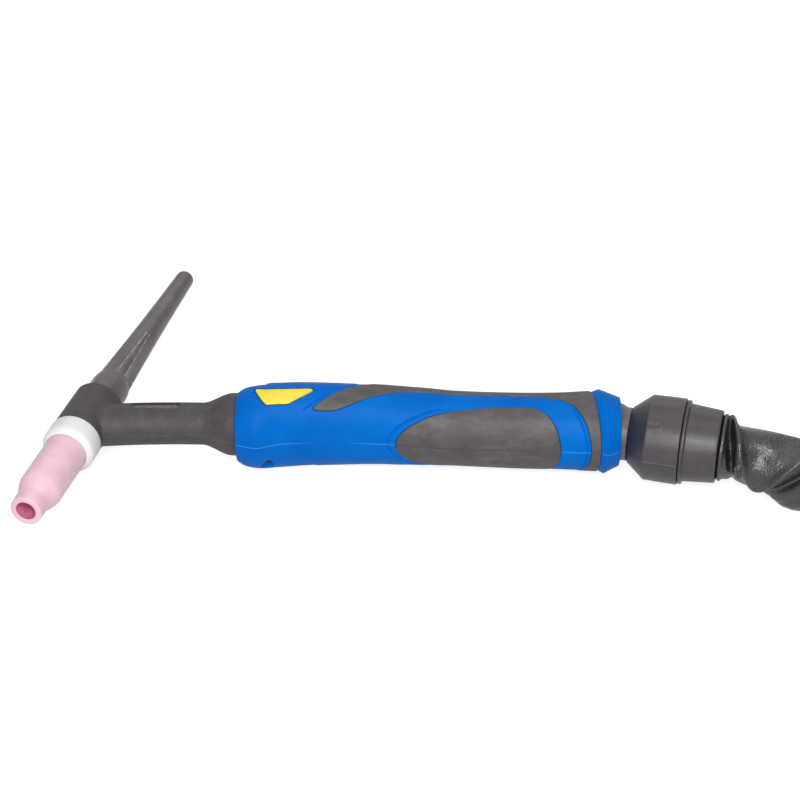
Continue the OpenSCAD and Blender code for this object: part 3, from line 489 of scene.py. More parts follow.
ENTRY_TURN = 270 - START_ANGLE - YAW
ROUTE_LENGTH = LEAD + BEND_R * math.radians(ENTRY_TURN)
COIL_ENTRY = route_point(ROUTE_LENGTH)
ENTRY_WAY = math.radians(YAW + ENTRY_TURN)
RUN_IN = Vector((math.cos(ENTRY_WAY), -math.sin(ENTRY_WAY), 0))


def coil_radius(n):
    return COIL_R + PITCH * abs(n - LOWER_TURNS - 0.25)


COIL_START = COIL_ENTRY + RUN_IN * SHEATH_D
COIL_OUT = math.radians(START_ANGLE)
COIL_MIDDLE = COIL_START - coil_radius(0) * Vector((math.cos(COIL_OUT), math.sin(COIL_OUT), 0))


def coil_point(n):
    a = math.radians(START_ANGLE) + 2 * math.pi * n
    r = coil_radius(n)
    climb = min(max((n - LOWER_TURNS) / (CLIMB_END - LOWER_TURNS), 0), 1)
    return Vector((COIL_MIDDLE.x + r * math.cos(a), COIL_MIDDLE.y + r * math.sin(a), SHEATH_Z + PITCH * climb))


def sheath_line():
    """The sheath's centreline in millimetres: close together where it is seen, wider in the coil."""
    line = [knuckle_point(t) for t in np.linspace(SHEATH_TUCK + 0.2, SLEEVE_END, 8)[:-1]]
    line += [route_point(s) for s in np.linspace(0, ROUTE_LENGTH, 150)]
    line += [COIL_ENTRY + RUN_IN * d for d in np.linspace(0, SHEATH_D, 8)[1:-1]]
    line += [coil_point(ALL_TURNS * i / COIL_STEPS) for i in range(COIL_STEPS + 1)]
    out = (coil_point(ALL_TURNS) - coil_point(ALL_TURNS - 0.002)).normalized()
    line += [line[-1] + out * SHEATH_D * (i + 1) / 6 for i in range(6)]
    return line


def evenly(line, count):
    """The line as evenly spaced points; count gives their number from its length."""
    run = np.concatenate([[0], np.cumsum(np.linalg.norm(np.diff(line, axis=0), axis=1))])
    even = np.linspace(0, run[-1], count(run[-1]))
    return np.stack([np.interp(even, run, line[:, k]) for k in (0, 1)], axis=-1)


def fold_line(points):
    line = np.array([(s, math.radians(a) * 15) for s, a in points])
    line = evenly(line, lambda length: int(length / 0.6) + 2)
    for _ in range(8):
        line[1:-1] = (line[:-2] + 2 * line[1:-1] + line[2:]) / 4
    return line


# Folds of the leather behind the sleeve, as points of (length from the sleeve's end in mm, degrees from the
# top towards the front): a rolled crest that turns back on itself, the hollow in front of it, a small
# tucked fold below, the crease under the crest's far arm, and a fainter second crease behind it.
CREST = fold_line([
    (0.8, -60), (1.8, -25), (3.8, 1), (5.0, 21), (6.2, 43), (7.8, 63), (9.4, 80), (11.8, 95), (15.4, 115),
    (19.0, 136), (21.5, 133), (23.8, 117), (26.6, 98), (29.4, 80), (32.6, 62), (36.5, 38), (42, 10), (50, -20),
    (60, -60),
])
HOLLOW = fold_line([
    (0.4, -40), (1.2, -10), (2.0, 24), (3.0, 50), (3.8, 71), (4.9, 95), (6.2, 125), (7.0, 170), (7.0, 230),
])
TUCK = fold_line([(5.6, 96), (6.2, 86), (7.2, 81), (8.6, 84), (9.4, 95), (9.6, 112)])
UNDER = fold_line([(25.5, 140), (28.6, 124), (31.9, 106), (35.4, 87), (39.4, 66), (44, 42), (51, 12)])
SECOND = fold_line([(30, 150), (38, 118), (46, 92), (54, 66), (64, 40), (78, 0)])


def bell(x):
    return np.exp(-(x**2))


def near(points, line, width):
    return bell(distance(points, line) / width)


def sheath_radius(s, angle):
    """Distance from the centreline to the leather, for arrays of lengths from the sleeve's end and angles
    from the top towards the front."""
    turn = (angle + 120) % 360 - 120
    spots = np.stack([s, np.radians(turn) * 15], axis=-1)
    a = np.radians(angle)
    slack = 0.55 * np.sin(2 * a + s * 0.043) + 0.35 * np.sin(3 * a - s * 0.071) + 0.22 * np.sin(5 * a + s * 0.19)
    calm = eased((s - 40) / 50)
    radius = LEATHER_R + slack * (0.25 + 0.55 * calm)
    folded = eased((s + 0.5) / 1.5) * (1 - eased((s - 48) / 30))
    bowl = bell((s - 17.5) / 7.0) * bell((turn - 58) / 27)
    bowl += 0.6 * bell((s - 27) / 6.0) * bell((turn - 28) / 20)
    swell = bell((s - 37) / 11) * bell((turn - 140) / 36)
    pinch = bell((s - 7.5) / 3.5) * eased((turn - 95) / 40) * eased((260 - turn) / 40)
    dip = np.clip(3.9 - (s - 5) * 0.125, 0, 3.9) * bell((turn + 27) / 46) * eased((s - 2.2) / 3.0)
    shape = 1.5 * near(spots, CREST, 1.9) + 0.5 * near(spots, CREST, 3.6)
    shape -= 5.2 * near(spots, HOLLOW, 1.45) * (1 - 0.8 * eased((turn - 90) / 25)) + 2.9 * bowl + 0.8 * pinch + dip
    shape += 2.2 * near(spots, TUCK, 0.8) - 3.4 * near(spots, UNDER, 2.4)
    shape -= 0.7 * near(spots, SECOND, 2.2) - 3.8 * swell
    radius = np.clip(radius + folded * shape, 9.0, 18.6)
    rim = LEATHER_R + 1.2 * eased((s + 2.2) / 1.2) - 0.25 * eased((s + 0.6) / 1.2)
    return np.where(s < 1.2, rim + (radius - rim) * eased((s + 0.1) / 1.3), radius)


def leather_cable():
    line = sheath_line()
    lengths = [0.0]
    for a, b in zip(line, line[1:]):
        lengths.append(lengths[-1] + (b - a).length)
    mouth = SLEEVE_END - SHEATH_TUCK - 0.2
    # sections stand close together over the folds, and wider further on
    stations, s = [], 0.0
    while s < lengths[-1] - 0.3:
        stations.append(s)
        local = s - mouth
        s += 0.35 if -3 < local < 55 else 1.1 if local < 110 else 4.0
    stations.append(lengths[-1])
    array = np.array([tuple(p) for p in line])
    total = np.array(lengths)
    centres = np.stack([np.interp(stations, total, array[:, k]) for k in range(3)], axis=1)
    ahead = np.gradient(centres, axis=0)
    local = np.array(stations) - mouth
    turns = np.arange(SIDES) * 360 / SIDES
    every = np.stack(np.meshgrid(local, turns, indexing="ij"), axis=-1).reshape(-1, 2)
    radii = sheath_radius(every[:, 0], every[:, 1]).reshape(len(stations), SIDES)
    points, spots = [], []
    for i, centre in enumerate(centres):
        run = Vector(ahead[i]).normalized()
        side = run.cross(Vector((0, 0, 1))).normalized()
        rise = side.cross(run).normalized()
        for k in range(SIDES):
            a = math.radians(turns[k])
            r = float(radii[i, k]) if local[i] > CUFF_END else 14.9
            p = Vector(centre) + rise * (r * math.cos(a)) + side * (r * math.sin(a))
            p.z = max(p.z, FLOOR_Z + 0.02)
            points.append(p)
            spots.append((turns[k] / 360 * GIRTH_UV, stations[i] * MM))
    faces, corners = [], []
    for i in range(len(stations) - 1):
        for k in range(SIDES):
            n = (k + 1) % SIDES
            faces.append((i * SIDES + k, (i + 1) * SIDES + k, (i + 1) * SIDES + n, i * SIDES + n))
            wrap = GIRTH_UV if n == 0 else 0
            a, b = spots[i * SIDES + k], spots[(i + 1) * SIDES + n]
            corners += [a, (a[0], b[1]), (b[0] + wrap, b[1]), (b[0] + wrap, a[1])]
    first = tuple(range(SIDES))
    last = tuple((len(stations) - 1) * SIDES + k for k in range(SIDES))[::-1]
    faces += [first, last]
    corners += [spots[k] for k in first] + [spots[k] for k in last]
    piece = made_from("leather_cable", points, faces)
    layer = piece.data.uv_layers.new(name="along")
    layer.data.foreach_set("uv", [c for corner in corners for c in corner])
    tidy_mesh(piece, 0)
    finished(piece, "leather", "cable", ["leather_sheath", "sheath_coil"], 180)


# ---------------------------------------------------------------- finishes of the pieces kept from the frame
for name, kind in {
    "collet_body": "brass", "collet": "copper", "torch_body_core": "brass", "back_cap_oring": "cable",
    # the screws' heads are darkened as painted shade in the holes over them
    "trigger_spring": "steel", "microswitch": "black", "handle_screws": "steel_in_painted_shade", "cable_fitting": "brass",
    "power_cable_front": "cable", "power_cable_rear": "cable", "ball_seat": "acetal", "swivel_clip": "steel",
    "trigger_button": "black", "connector_boot": "cable", "current_plug": "brass",
}.items():
    nodes[name].data.materials.clear()
    nodes[name].data.materials.append(finish[kind])

# ---------------------------------------------------------------- the handle's skin
HANDLE_START = 74.0
HANDLE_LENGTH = 172.0
HALF_DEPTH = 18.5
HALF_WIDTH = 22.4
SHELL_WALL = 2.8
REAR_SLANT = 0.19
GRIP_DEPTH = 1.3
GIRTH_R = 19.5
GIRTH = math.pi * GIRTH_R
# share of the length, then depth below and above the axis and width, as shares of the half sizes
HANDLE_SHAPE = np.array([
    [0.000, 0.93, 0.68, 0.78], [0.023, 1.00, 0.76, 0.90], [0.063, 1.07, 0.89, 0.95], [0.120, 0.88, 0.90, 1.00],
    [0.210, 0.79, 0.98, 0.98], [0.380, 0.77, 1.00, 0.93], [0.525, 0.87, 0.98, 0.87], [0.610, 0.93, 0.96, 0.82],
    [0.755, 0.95, 0.87, 0.84], [0.900, 0.97, 0.91, 0.85], [1.000, 1.02, 1.02, 0.87],
])


def shape_value(s, column):
    """Smooth curve through the rows of the handle's shape table."""
    x, y = HANDLE_SHAPE[:, 0], HANDLE_SHAPE[:, column]
    before, after = np.maximum(np.arange(len(x)) - 1, 0), np.minimum(np.arange(len(x)) + 1, len(x) - 1)
    slope = (y[after] - y[before]) / (x[after] - x[before])
    i = np.clip(np.searchsorted(x, s) - 1, 0, len(x) - 2)
    h = x[i + 1] - x[i]
    u = (s - x[i]) / h
    return (
        (2 * u**3 - 3 * u**2 + 1) * y[i]
        + (u**3 - 2 * u**2 + u) * h * slope[i]
        + (3 * u**2 - 2 * u**3) * y[i + 1]
        + (u**3 - u**2) * h * slope[i + 1]
    )


def slant(s):
    return REAR_SLANT * eased((s - 0.86) / 0.14)


def skin(s, angle, inset=0.0):
    """Points on the handle's skin, or below it by the inset. The angle turns from the back seam over the top."""
    low, high = shape_value(s, 1) * HALF_DEPTH, shape_value(s, 2) * HALF_DEPTH
    half, side = (low + high) / 2, shape_value(s, 3) * HALF_WIDTH
    a = np.radians(angle)
    y = (high - low) / 2 + (half - inset) * np.cos(a)
    return np.stack([HANDLE_START + s * HANDLE_LENGTH - slant(s) * y, y, (side - inset) * np.sin(a)], axis=-1)


def round_skin(s, angle, radius):
    a = np.radians(angle)
    return np.stack(
        [HANDLE_START + s * HANDLE_LENGTH - slant(s) * radius * np.cos(a), radius * np.cos(a), radius * np.sin(a)],
        axis=-1,
    )


def flat(points):
    """Share of length and angle, as millimetres along and round the handle."""
    points = np.asarray(points, dtype=float)
    return np.stack([points[..., 0] * HANDLE_LENGTH, np.radians(points[..., 1]) * GIRTH_R], axis=-1)


def unflat(points):
    return points[..., 0] / HANDLE_LENGTH, np.degrees(points[..., 1] / GIRTH_R)


def smooth_line(points, step=0.5, closed=False):
    """Smooth curve through points on the flattened skin, as evenly spaced points."""
    p = np.asarray(points, dtype=float)
    p = np.vstack([p[-1:], p, p[:2]]) if closed else np.vstack([2 * p[0] - p[1], p, 2 * p[-1] - p[-2]])
    out = []
    for a, b, c, d in zip(p, p[1:], p[2:], p[3:]):
        t0, t1, t2, t3 = np.cumsum([0.0] + [max(np.linalg.norm(v), 1e-6) ** 0.5 for v in (b - a, c - b, d - c)])
        t = np.linspace(t1, t2, 24, endpoint=False)[:, None]
        a1 = (t1 - t) / (t1 - t0) * a + (t - t0) / (t1 - t0) * b
        a2 = (t2 - t) / (t2 - t1) * b + (t - t1) / (t2 - t1) * c
        a3 = (t3 - t) / (t3 - t2) * c + (t - t2) / (t3 - t2) * d
        b1 = (t2 - t) / (t2 - t0) * a1 + (t - t0) / (t2 - t0) * a2
        b2 = (t3 - t) / (t3 - t1) * a2 + (t - t1) / (t3 - t1) * a3
        out.append((t2 - t) / (t2 - t1) * b1 + (t - t1) / (t2 - t1) * b2)
    out = np.vstack(out + [p[-2:-1]])
    return evenly(out, lambda length: max(int(length / step), 2) + 1)


def distance(points, line):
    """Distance of each point from a line of points."""
    a, ab = line[:-1], line[1:] - line[:-1]
    best = np.full(len(points), 1e9)
    for start in range(0, len(points), 2000):
        p = points[start : start + 2000, None, :] - a[None]
        t = np.clip((p * ab).sum(-1) / (ab * ab).sum(-1), 0, 1)
        gap = np.linalg.norm(p - t[..., None] * ab, axis=-1)
        best[start : start + 2000] = gap.min(axis=1)
    return best


def inside(points, outline):
    """Whether each point lies inside a closed outline."""
    x, y = points[:, :1], points[:, 1:]
    a, b = outline, np.roll(outline, -1, axis=0)
    crosses = (a[:, 1] > y) != (b[:, 1] > y)
    with np.errstate(divide="ignore", invalid="ignore"):
        at = (b[:, 0] - a[:, 0]) * (y - a[:, 1]) / (b[:, 1] - a[:, 1]) + a[:, 0]
    return (crosses & (x < at)).sum(axis=1) % 2 == 1


def offset_line(line, gap):
    """The line moved sideways; points that come nearer to the line than the gap are left out."""
    along = np.gradient(line, axis=0)
    along /= np.linalg.norm(along, axis=1)[:, None]
    moved = line + gap * np.stack([-along[:, 1], along[:, 0]], axis=-1)
    return moved[distance(moved, line) > abs(gap) - 0.02]


def mirrored(points):
    """Points past the front seam, so that an edge crosses it square."""
    return [(s, 360 - a) for s, a in points]


# edge of the soft grip: from the back seam round the finger rest's tip, then along the band to the front seam
FINGER = [
    (0.436, -12), (0.436, 0), (0.420, 34), (0.400, 52), (0.370, 70), (0.345, 80), (0.315, 90), (0.290, 99),
    (0.265, 109), (0.240, 119), (0.225, 126),
]
TIP = [(0.2185, 129.6), (0.2180, 132.4), (0.2235, 134.2)]
BAND = [
    (0.245, 134.6), (0.280, 133.5), (0.315, 126), (0.350, 116.5), (0.390, 106), (0.453, 94), (0.530, 86.5),
    (0.600, 82.5), (0.710, 82), (0.800, 83), (0.860, 86), (0.900, 93), (0.934, 104), (0.955, 123),
    (0.968, 147), (0.974, 168), (0.975, 180),
]
# edge of the palm pad, from its front end over the top to its rear end
PALM = [
    (0.4475, 180), (0.458, 165), (0.478, 154), (0.503, 145), (0.546, 132), (0.598, 121), (0.680, 113.5),
    (0.760, 110.5), (0.817, 110.5), (0.845, 114), (0.866, 122), (0.886, 136), (0.899, 156), (0.905, 180),
]
SOFT_LINE = smooth_line(flat(FINGER + TIP + BAND + mirrored(BAND[-4:-1])[::-1]))
PALM_LINE = smooth_line(flat(mirrored(PALM[1:4])[::-1] + PALM + mirrored(PALM[-4:-1])[::-1]))
PALM_OUTLINE = smooth_line(flat(PALM + mirrored(PALM[1:-1])[::-1]), closed=True)
BEHIND = flat([(1.1, 230), (1.1, -60), (0.436, -60)])
SOFT_OUTLINE = np.vstack([SOFT_LINE, BEHIND])
# lines pressed or raised in the blue shell: a smooth line, its half width and its depth (below zero, raised)
FINGER_LINE = smooth_line(flat(FINGER[2:] + TIP[:1]))
finger_side, finger_near = offset_line(FINGER_LINE, 1.7), offset_line(FINGER_LINE, 0.8)
SHELL_LINES = [
    (smooth_line(np.vstack([finger_side[:-4:6], flat([(0.2085, 126.5), (0.1950, 131.5)])])), 0.32, 0.50),
    (finger_near, 0.22, 0.12),
    (smooth_line(flat([
        (0.600, 114), (0.545, 123), (0.503, 136), (0.468, 147.5), (0.443, 160), (0.428, 173), (0.4245, 180),
        (0.428, 187), (0.443, 200),
    ])), 0.40, 0.60),
    (smooth_line(flat([
        (0.940, 110), (0.943, 116), (0.948, 126), (0.957, 144), (0.9645, 166), (0.966, 180), (0.9645, 194),
        (0.957, 216),
    ])), 0.34, 0.60),
    (smooth_line(flat([
        (0.430, 124), (0.470, 118), (0.505, 110), (0.545, 102), (0.600, 93), (0.640, 88),
    ])), 0.80, -0.10),
]
# a small round hole moulded in the upper shell beside the plate, and one in the soft grip: place, radius, depth
SHELL_DIMPLE = ((0.0500, 92.0), 0.75, 1.3)
GRIP_DIMPLE = ((0.2510, 124.0), 0.9, 0.5)
PLATE = smooth_line(
    flat([
        (0.0525, 88), (0.0540, 85), (0.0590, 84.2), (0.0670, 85.6), (0.0900, 91), (0.1290, 95.4), (0.1700, 95.8),
        (0.2050, 95.2), (0.2140, 96), (0.2175, 98.6), (0.2130, 103), (0.1820, 115), (0.1540, 124), (0.1450, 125.4),
        (0.1260, 125), (0.0960, 123), (0.0870, 121.4), (0.0810, 118), (0.0670, 106),
    ]),
    step=0.4,
    closed=True,
)


def fill_points(x_step, w_step, lines, gaps):
    """Points over the flattened half skin: rows along every line given, and a plain grid elsewhere."""
    length, girth = HANDLE_LENGTH, GIRTH
    rows = [offset_line(line, gap) if gap else line for line in lines for gap in gaps]
    along = [p for p in rows if len(p)]
    fixed = np.vstack(along) if along else np.zeros((0, 2))
    x, w = fixed[:, 0], fixed[:, 1]
    fixed = fixed[(x > 0.05) & (x < length - 0.05) & (w > 0.2) & (w < girth - 0.2)]
    xs = np.linspace(0, length, int(length / x_step) + 1)
    ws = np.linspace(0, girth, int(girth / w_step) + 1)
    xs = np.unique(np.concatenate([xs, [0.12, 0.3, 0.6, 2.2, 2.35, length - 0.3, length - 0.12]]))
    ws = np.unique(np.concatenate([ws, [0.1, 0.25, girth - 0.25, girth - 0.1]]))
    grid = np.stack(np.meshgrid(xs, ws, indexing="ij"), axis=-1).reshape(-1, 2)
    x, w = grid[:, 0], grid[:, 1]
    border = (x < 0.01) | (x > length - 0.01) | (w < 0.01) | (w > girth - 0.01)
    clear = np.ones(len(grid), dtype=bool)
    for line in lines:
        clear &= distance(grid, line) > max(abs(g) for g in gaps) + 0.3
    return np.vstack([fixed, grid[clear | border]])


def skin_piece(name, cuts, lines, gaps, belongs, top_inset, bottom, half=1, step=(1.2, 1.1)):
    """A closed piece of the handle's skin. cuts are the lines it ends on, lines the ones its mesh follows,
    belongs picks the piece's part of the flattened skin, and top_inset and bottom give its two sides."""
    points = fill_points(*step, lines, gaps)
    edges = []
    for cut in cuts:
        edges += [(len(points) + i, len(points) + i + 1) for i in range(len(cut) - 1)]
        points = np.vstack([points, cut])
    corners = np.array([[0, 0], [HANDLE_LENGTH, 0], [HANDLE_LENGTH, GIRTH], [0, GIRTH]])
    edges += [(len(points) + i, len(points) + (i + 1) % 4) for i in range(4)]
    points = np.vstack([points, corners])
    verts, _, faces, _, _, _ = delaunay_2d_cdt([Vector(p) for p in points], edges, [], 0, 1e-4)
    flat_points = np.array([tuple(v) for v in verts])
    faces = np.array([tuple(f) for f in faces])
    middle = flat_points[faces].mean(axis=1)
    x, w = middle[:, 0], middle[:, 1]
    within = (x > 0) & (x < HANDLE_LENGTH) & (w > 0) & (w < GIRTH)
    faces = faces[within & belongs(middle)]
    used = np.unique(faces)
    back = np.full(len(flat_points), -1)
    back[used] = np.arange(len(used))
    faces, flat_points = back[faces], flat_points[used]
    flat_points[:, 0] = np.clip(flat_points[:, 0], 0, HANDLE_LENGTH)
    flat_points[:, 1] = np.clip(flat_points[:, 1], 0, GIRTH)
    s, angle = unflat(flat_points)
    if half < 0:
        # the finger rest's tip ends further back on the lower half
        angle = angle - 14 * bell((s - 0.265) / 0.075) * bell((angle - 130) / 30)
    top = skin(s, angle, top_inset(flat_points, s, angle))
    under = bottom(s, angle)
    count = len(top)
    seen = {}
    for f in faces:
        for a, b in ((f[0], f[1]), (f[1], f[2]), (f[2], f[0])):
            seen[(min(a, b), max(a, b))] = seen.get((min(a, b), max(a, b)), 0) + 1
    rim = [(a, b) for (a, b), n in seen.items() if n == 1]
    sides = [(a, b, b + count, a + count) for a, b in rim]
    every = [tuple(f) for f in faces] + [tuple(f[::-1] + count) for f in faces] + sides
    both = np.vstack([top, under])
    both[:, 2] *= half
    return tidy_mesh(made_from(name, both.tolist(), [tuple(int(i) for i in f) for f in every]), 0.0005)


def lip(gap, radius):
    """How far a rounded edge drops at a distance from the edge."""
    return radius - np.sqrt(np.maximum(radius**2 - np.maximum(radius - gap, 0) ** 2, 0))


def seam_gap(points):
    return np.minimum(points[:, 1], GIRTH - points[:, 1])


LIP_R = 0.45
PLATE_LIP = 0.3


def dimple(points, place, radius, depth):
    return depth * eased(1.25 - np.linalg.norm(points - flat(place), axis=1) / radius)


def shoulder(s, angle):
    """The skin is flatter beside the switch panel: how far it drops there."""
    return 0.95 * bell((angle - 50) / 23) * eased((s - 0.04) / 0.10) * eased((0.40 - s) / 0.10)


def plate_inset(points):
    """The plate's recess and the small hole beside it, on the upper half."""
    plate = distance(points, PLATE)
    floor = np.where(inside(points, PLATE), np.clip(PLATE_LIP + plate * 4, 0, 0.9), lip(plate, PLATE_LIP))
    return floor + dimple(points, *SHELL_DIMPLE)


def shell_inset(points, s, angle):
    """Rounded edges, pressed lines and the ledges under the grips, the same on both halves."""
    edge = np.minimum(distance(points, SOFT_LINE), distance(points, PALM_LINE))
    under = inside(points, SOFT_OUTLINE) | inside(points, PALM_OUTLINE)
    inset = np.where(under, np.clip(LIP_R + (edge - 0.02) * 12, LIP_R, GRIP_DEPTH), lip(edge, LIP_R))
    for line, half_width, depth in SHELL_LINES:
        inset = inset + np.where(under, 0, depth * near(points, line, half_width))
    inset = inset + np.where(under, 0, shoulder(s, angle))
    inset = inset + lip(seam_gap(points), 0.1) + lip(points[:, 0], 0.6) * (points[:, 0] < 0.6)
    return inset + lip(HANDLE_LENGTH - points[:, 0], 0.3)


def shell_under(s, angle):
    """The shell's inside: a round mouth at each end, and an even wall between."""
    x = s * HANDLE_LENGTH
    wall = skin(s, angle, SHELL_WALL)
    front = (x < 2.27)[:, None]
    rear = eased((s - 0.935) / 0.03)[:, None]
    mouth = round_skin(s, angle, 15.9)
    return np.where(front, round_skin(s, angle, 9.05), wall + (mouth - wall) * rear)


def grip_inset(line):
    def inset(points, s, angle):
        edge = distance(points, line)
        worn = 0.05 * np.sin(points[:, 0] * 0.21) * np.sin(points[:, 1] * 0.17)
        rear = lip(HANDLE_LENGTH - points[:, 0], 0.4)
        rear = rear + dimple(points, *GRIP_DIMPLE)
        return -0.18 + worn * (edge > 2) + lip(edge, 0.4) + lip(seam_gap(points), 0.12) + rear
    return inset


def handle_shells():
    shell_lines = [SOFT_LINE, PALM_LINE] + [line for line, _, _ in SHELL_LINES[:4]]
    gaps = (-0.45, -0.25, -0.1, 0.0, 0.1, 0.25, 0.45)
    for half, name in ((1, "handle_shell_upper"), (-1, "handle_shell_lower")):
        upper = half > 0
        piece = skin_piece(
            name + "_skin", [SOFT_LINE, PALM_LINE], shell_lines + [PLATE] * upper, gaps,
            lambda points: np.ones(len(points), dtype=bool),
            lambda points, s, angle: shell_inset(points, s, angle) + (plate_inset(points) if upper else 0),
            shell_under, half,
        )
        switch_window(piece)
        if not upper:
            screw_recess(piece)
        finished(piece, "blue", "handle", [name], 42)
        if upper:
            # the floor round the plate, seen in its gap, gets painted shade
            painted_shade_floor(piece, PLATE)


def painted_shade_floor(piece, outline):
    """The second, darker material on the floor of a recess with this outline: painted shade, seen in the gap round
    what lies in it.
    """
    middles = second_finishes(piece, "blue_painted_shade")
    s = (middles[:, 0] - HANDLE_START) / HANDLE_LENGTH
    low, high = shape_value(s, 1) * HALF_DEPTH, shape_value(s, 2) * HALF_DEPTH
    across = (middles[:, 1] - (high - low) / 2) / ((low + high) / 2)
    angle = np.degrees(np.arctan2(middles[:, 2] / (shape_value(s, 3) * HALF_WIDTH), across))
    places = flat(np.stack([s, angle], axis=-1))
    within = inside(places, outline) | (distance(places, outline) < 0.2)
    for face, there in zip(piece.data.polygons, within):
        if there:
            face.material_index = 1


def depth_at(x, column):
    return float(shape_value(np.array([x / HANDLE_LENGTH]), column)[0]) * HALF_DEPTH


SCREW_X = HANDLE_START + 14.7
SCREW_Y = (4.2 - depth_at(16, 1), depth_at(16, 2) - 5.6)


def screw_recess(piece):
    """Bosses for the two screws in the lower half, the holes over their heads and the ones for their shanks."""
    angles = np.arange(0, 181, 6.0)
    for y in SCREW_Y:
        boss = bar(4.3, 18, (SCREW_X, y, -9.5), 48)
        stations = np.linspace(0.03, 0.14, 12)
        room = [(skin(np.full(len(angles), s), angles, 1.4) * (1, 1, -1)).tolist() for s in stations]
        cut_with(boss, lofted("room", room), "INTERSECT")
        cut_with(piece, boss, "UNION")
        cut_with(piece, bar(2.95, 20, (SCREW_X, y, -19), 48))
        cut_with(piece, bar(1.6, 20, (SCREW_X, y, -2), 32))


def switch_window(piece):
    """The opening in both halves that the trigger button goes through."""
    bpy.ops.mesh.primitive_cube_add(size=1, location=(112.27 * MM, 20 * MM, 0))
    bpy.context.object.data.transform(Matrix.Diagonal((24.6 * MM, 20 * MM, 13.6 * MM, 1)))
    cut_with(piece, bpy.context.object)


def grips():
    soft, palm = offset_line(SOFT_LINE, SOFT_SIDE * 0.1), offset_line(PALM_LINE, PALM_SIDE * 0.1)
    kinds = (("soft_grip", soft, SOFT_SIDE, np.vstack([soft, BEHIND])), ("palm_grip", palm, PALM_SIDE, palm))
    for half, name in ((1, "upper"), (-1, "lower")):
        for kind, edge, side, outline in kinds:
            piece = skin_piece(
                f"{kind}_{name}_pad", [edge], [edge], edge_rows(side), lambda points: inside(points, outline),
                grip_inset(edge), lambda s, angle: skin(s, angle, GRIP_DEPTH - 0.03), half,
            )
            finished(piece, "grip", "handle", [f"{kind}_{name}"], 50)


def switch_panel():
    """The black panel round the trigger button, in two halves that meet behind."""
    edge = smooth_line(flat([
        (0.076, -14), (0.076, 0), (0.076, 44), (0.080, 55), (0.092, 60), (0.130, 62), (0.200, 62.5), (0.290, 62),
        (0.325, 60), (0.338, 55), (0.342, 44), (0.342, 0), (0.342, -14),
    ]))
    for half, name in ((1, "upper"), (-1, "lower")):
        piece = skin_piece(
            f"switch_panel_{name}", [edge], [edge], edge_rows(inner_side(edge, edge)),
            lambda points: inside(points, edge),
            lambda points, s, angle: shoulder(s, angle) - 0.6 + lip(distance(points, edge), 0.45),
            lambda s, angle: skin(s, angle, shoulder(s, angle) + 0.02), half,
        )
        switch_window(piece)
        finished(piece, "black", "handle", ["switch_panel"], 50)


def yellow_label():
    """The bare yellow plate in its recess, with a rolled edge and a narrow gap round it."""
    edge = offset_line(PLATE, PLATE_SIDE * 0.42)
    edge = np.vstack([edge, edge[:1]])
    piece = skin_piece(
        "yellow_label", [edge], [edge], edge_rows(PLATE_SIDE, (0.1, 0.25, 0.45)), lambda points: inside(points, edge),
        lambda points, s, angle: -0.08 + lip(distance(points, edge), 0.3),
        lambda s, angle: skin(s, angle, 0.88), 1, (0.9, 0.9),
    )
    finished(piece, "yellow", "handle", ["name_plate"], 50)


def edge_rows(side, shares=(0.12, 0.28, 0.5)):
    """Rows of points along an edge, on the inner side of it."""
    return (0.0, *(side * share for share in shares))


def inner_side(line, outline):
    """+1 or -1: the side of a line that lies inside its outline."""
    return 1 if inside(offset_line(line, 0.3), outline).mean() > 0.5 else -1


SOFT_SIDE = inner_side(SOFT_LINE, SOFT_OUTLINE)
PALM_SIDE = inner_side(PALM_LINE, PALM_OUTLINE)
PLATE_SIDE = inner_side(PLATE, PLATE)
handle_shells()
grips()
yellow_label()
switch_panel()


# ---------------------------------------------------------------- head and neck cover
def rounded_cylinder(across, along, radius, half, edge):
    """Distance to a cylinder with rounded rims, from the distance off its axis and along it."""
    a, b = across - radius + edge, np.abs(along) - half + edge
    return np.minimum(np.maximum(a, b), 0) + np.hypot(np.maximum(a, 0), np.maximum(b, 0)) - edge


def joined(a, b, width):
    """The nearer of two distances, with a fillet of the given width where they meet."""
    h = np.clip(0.5 + 0.5 * (b - a) / width, 0, 1)
    return b + (a - b) * h - width * h * (1 - h)


HEAD_RUN = np.array([math.cos(math.radians(HEAD_TILT)), math.sin(math.radians(HEAD_TILT)), 0])
NECK_FROM, BEND, FLARE_LENGTH, FLARE = 57.0, 400.0, 17.0, 5.0
NECK_R, BORE_R = 10.3, 5.05
HEAD_MIDDLE = 0.7
OVAL_X, OVAL_HALF, OVAL_TURN, OVAL_SPREAD = 34.5, 9.2, 93, 0.18


def off_neck_axis(p):
    """Distance from the neck's axis, which is bent as far as NECK_FROM and straight behind it."""
    bent = np.hypot(np.hypot(p[:, 0] - NECK_FROM, p[:, 1] + BEND) - BEND, p[:, 2])
    return np.where(p[:, 0] < NECK_FROM, bent, np.hypot(p[:, 1], p[:, 2]))


def neck_depth(p):
    """Distance to the bent neck and its flare, which ends at the handle's front face."""
    x = p[:, 0]
    straight = np.hypot(p[:, 1], p[:, 2])
    t = np.clip((x - NECK_FROM) / FLARE_LENGTH, 0, 1)
    tube = off_neck_axis(p) - (NECK_R + FLARE * eased(np.minimum(t * 1.15, 1)) ** 0.9)
    tube *= np.where((x > 58) & (x < 73), 0.9, 1.0)
    flare = -joined(-tube, 73.95 - x, 0.5)
    tail = rounded_cylinder(straight, x - 71, 9, 13, 0.3)
    return np.minimum(np.maximum(flare, 2 - x), tail)


def oval_gap(p):
    """Distance from the middle line of the oval recess on top of the neck."""
    round_angle = np.degrees(np.arctan2(p[:, 2], -p[:, 1]))
    ends = np.maximum(np.abs(p[:, 0] - OVAL_X) - OVAL_HALF, 0)
    return np.hypot(ends, (round_angle - OVAL_TURN) * OVAL_SPREAD)


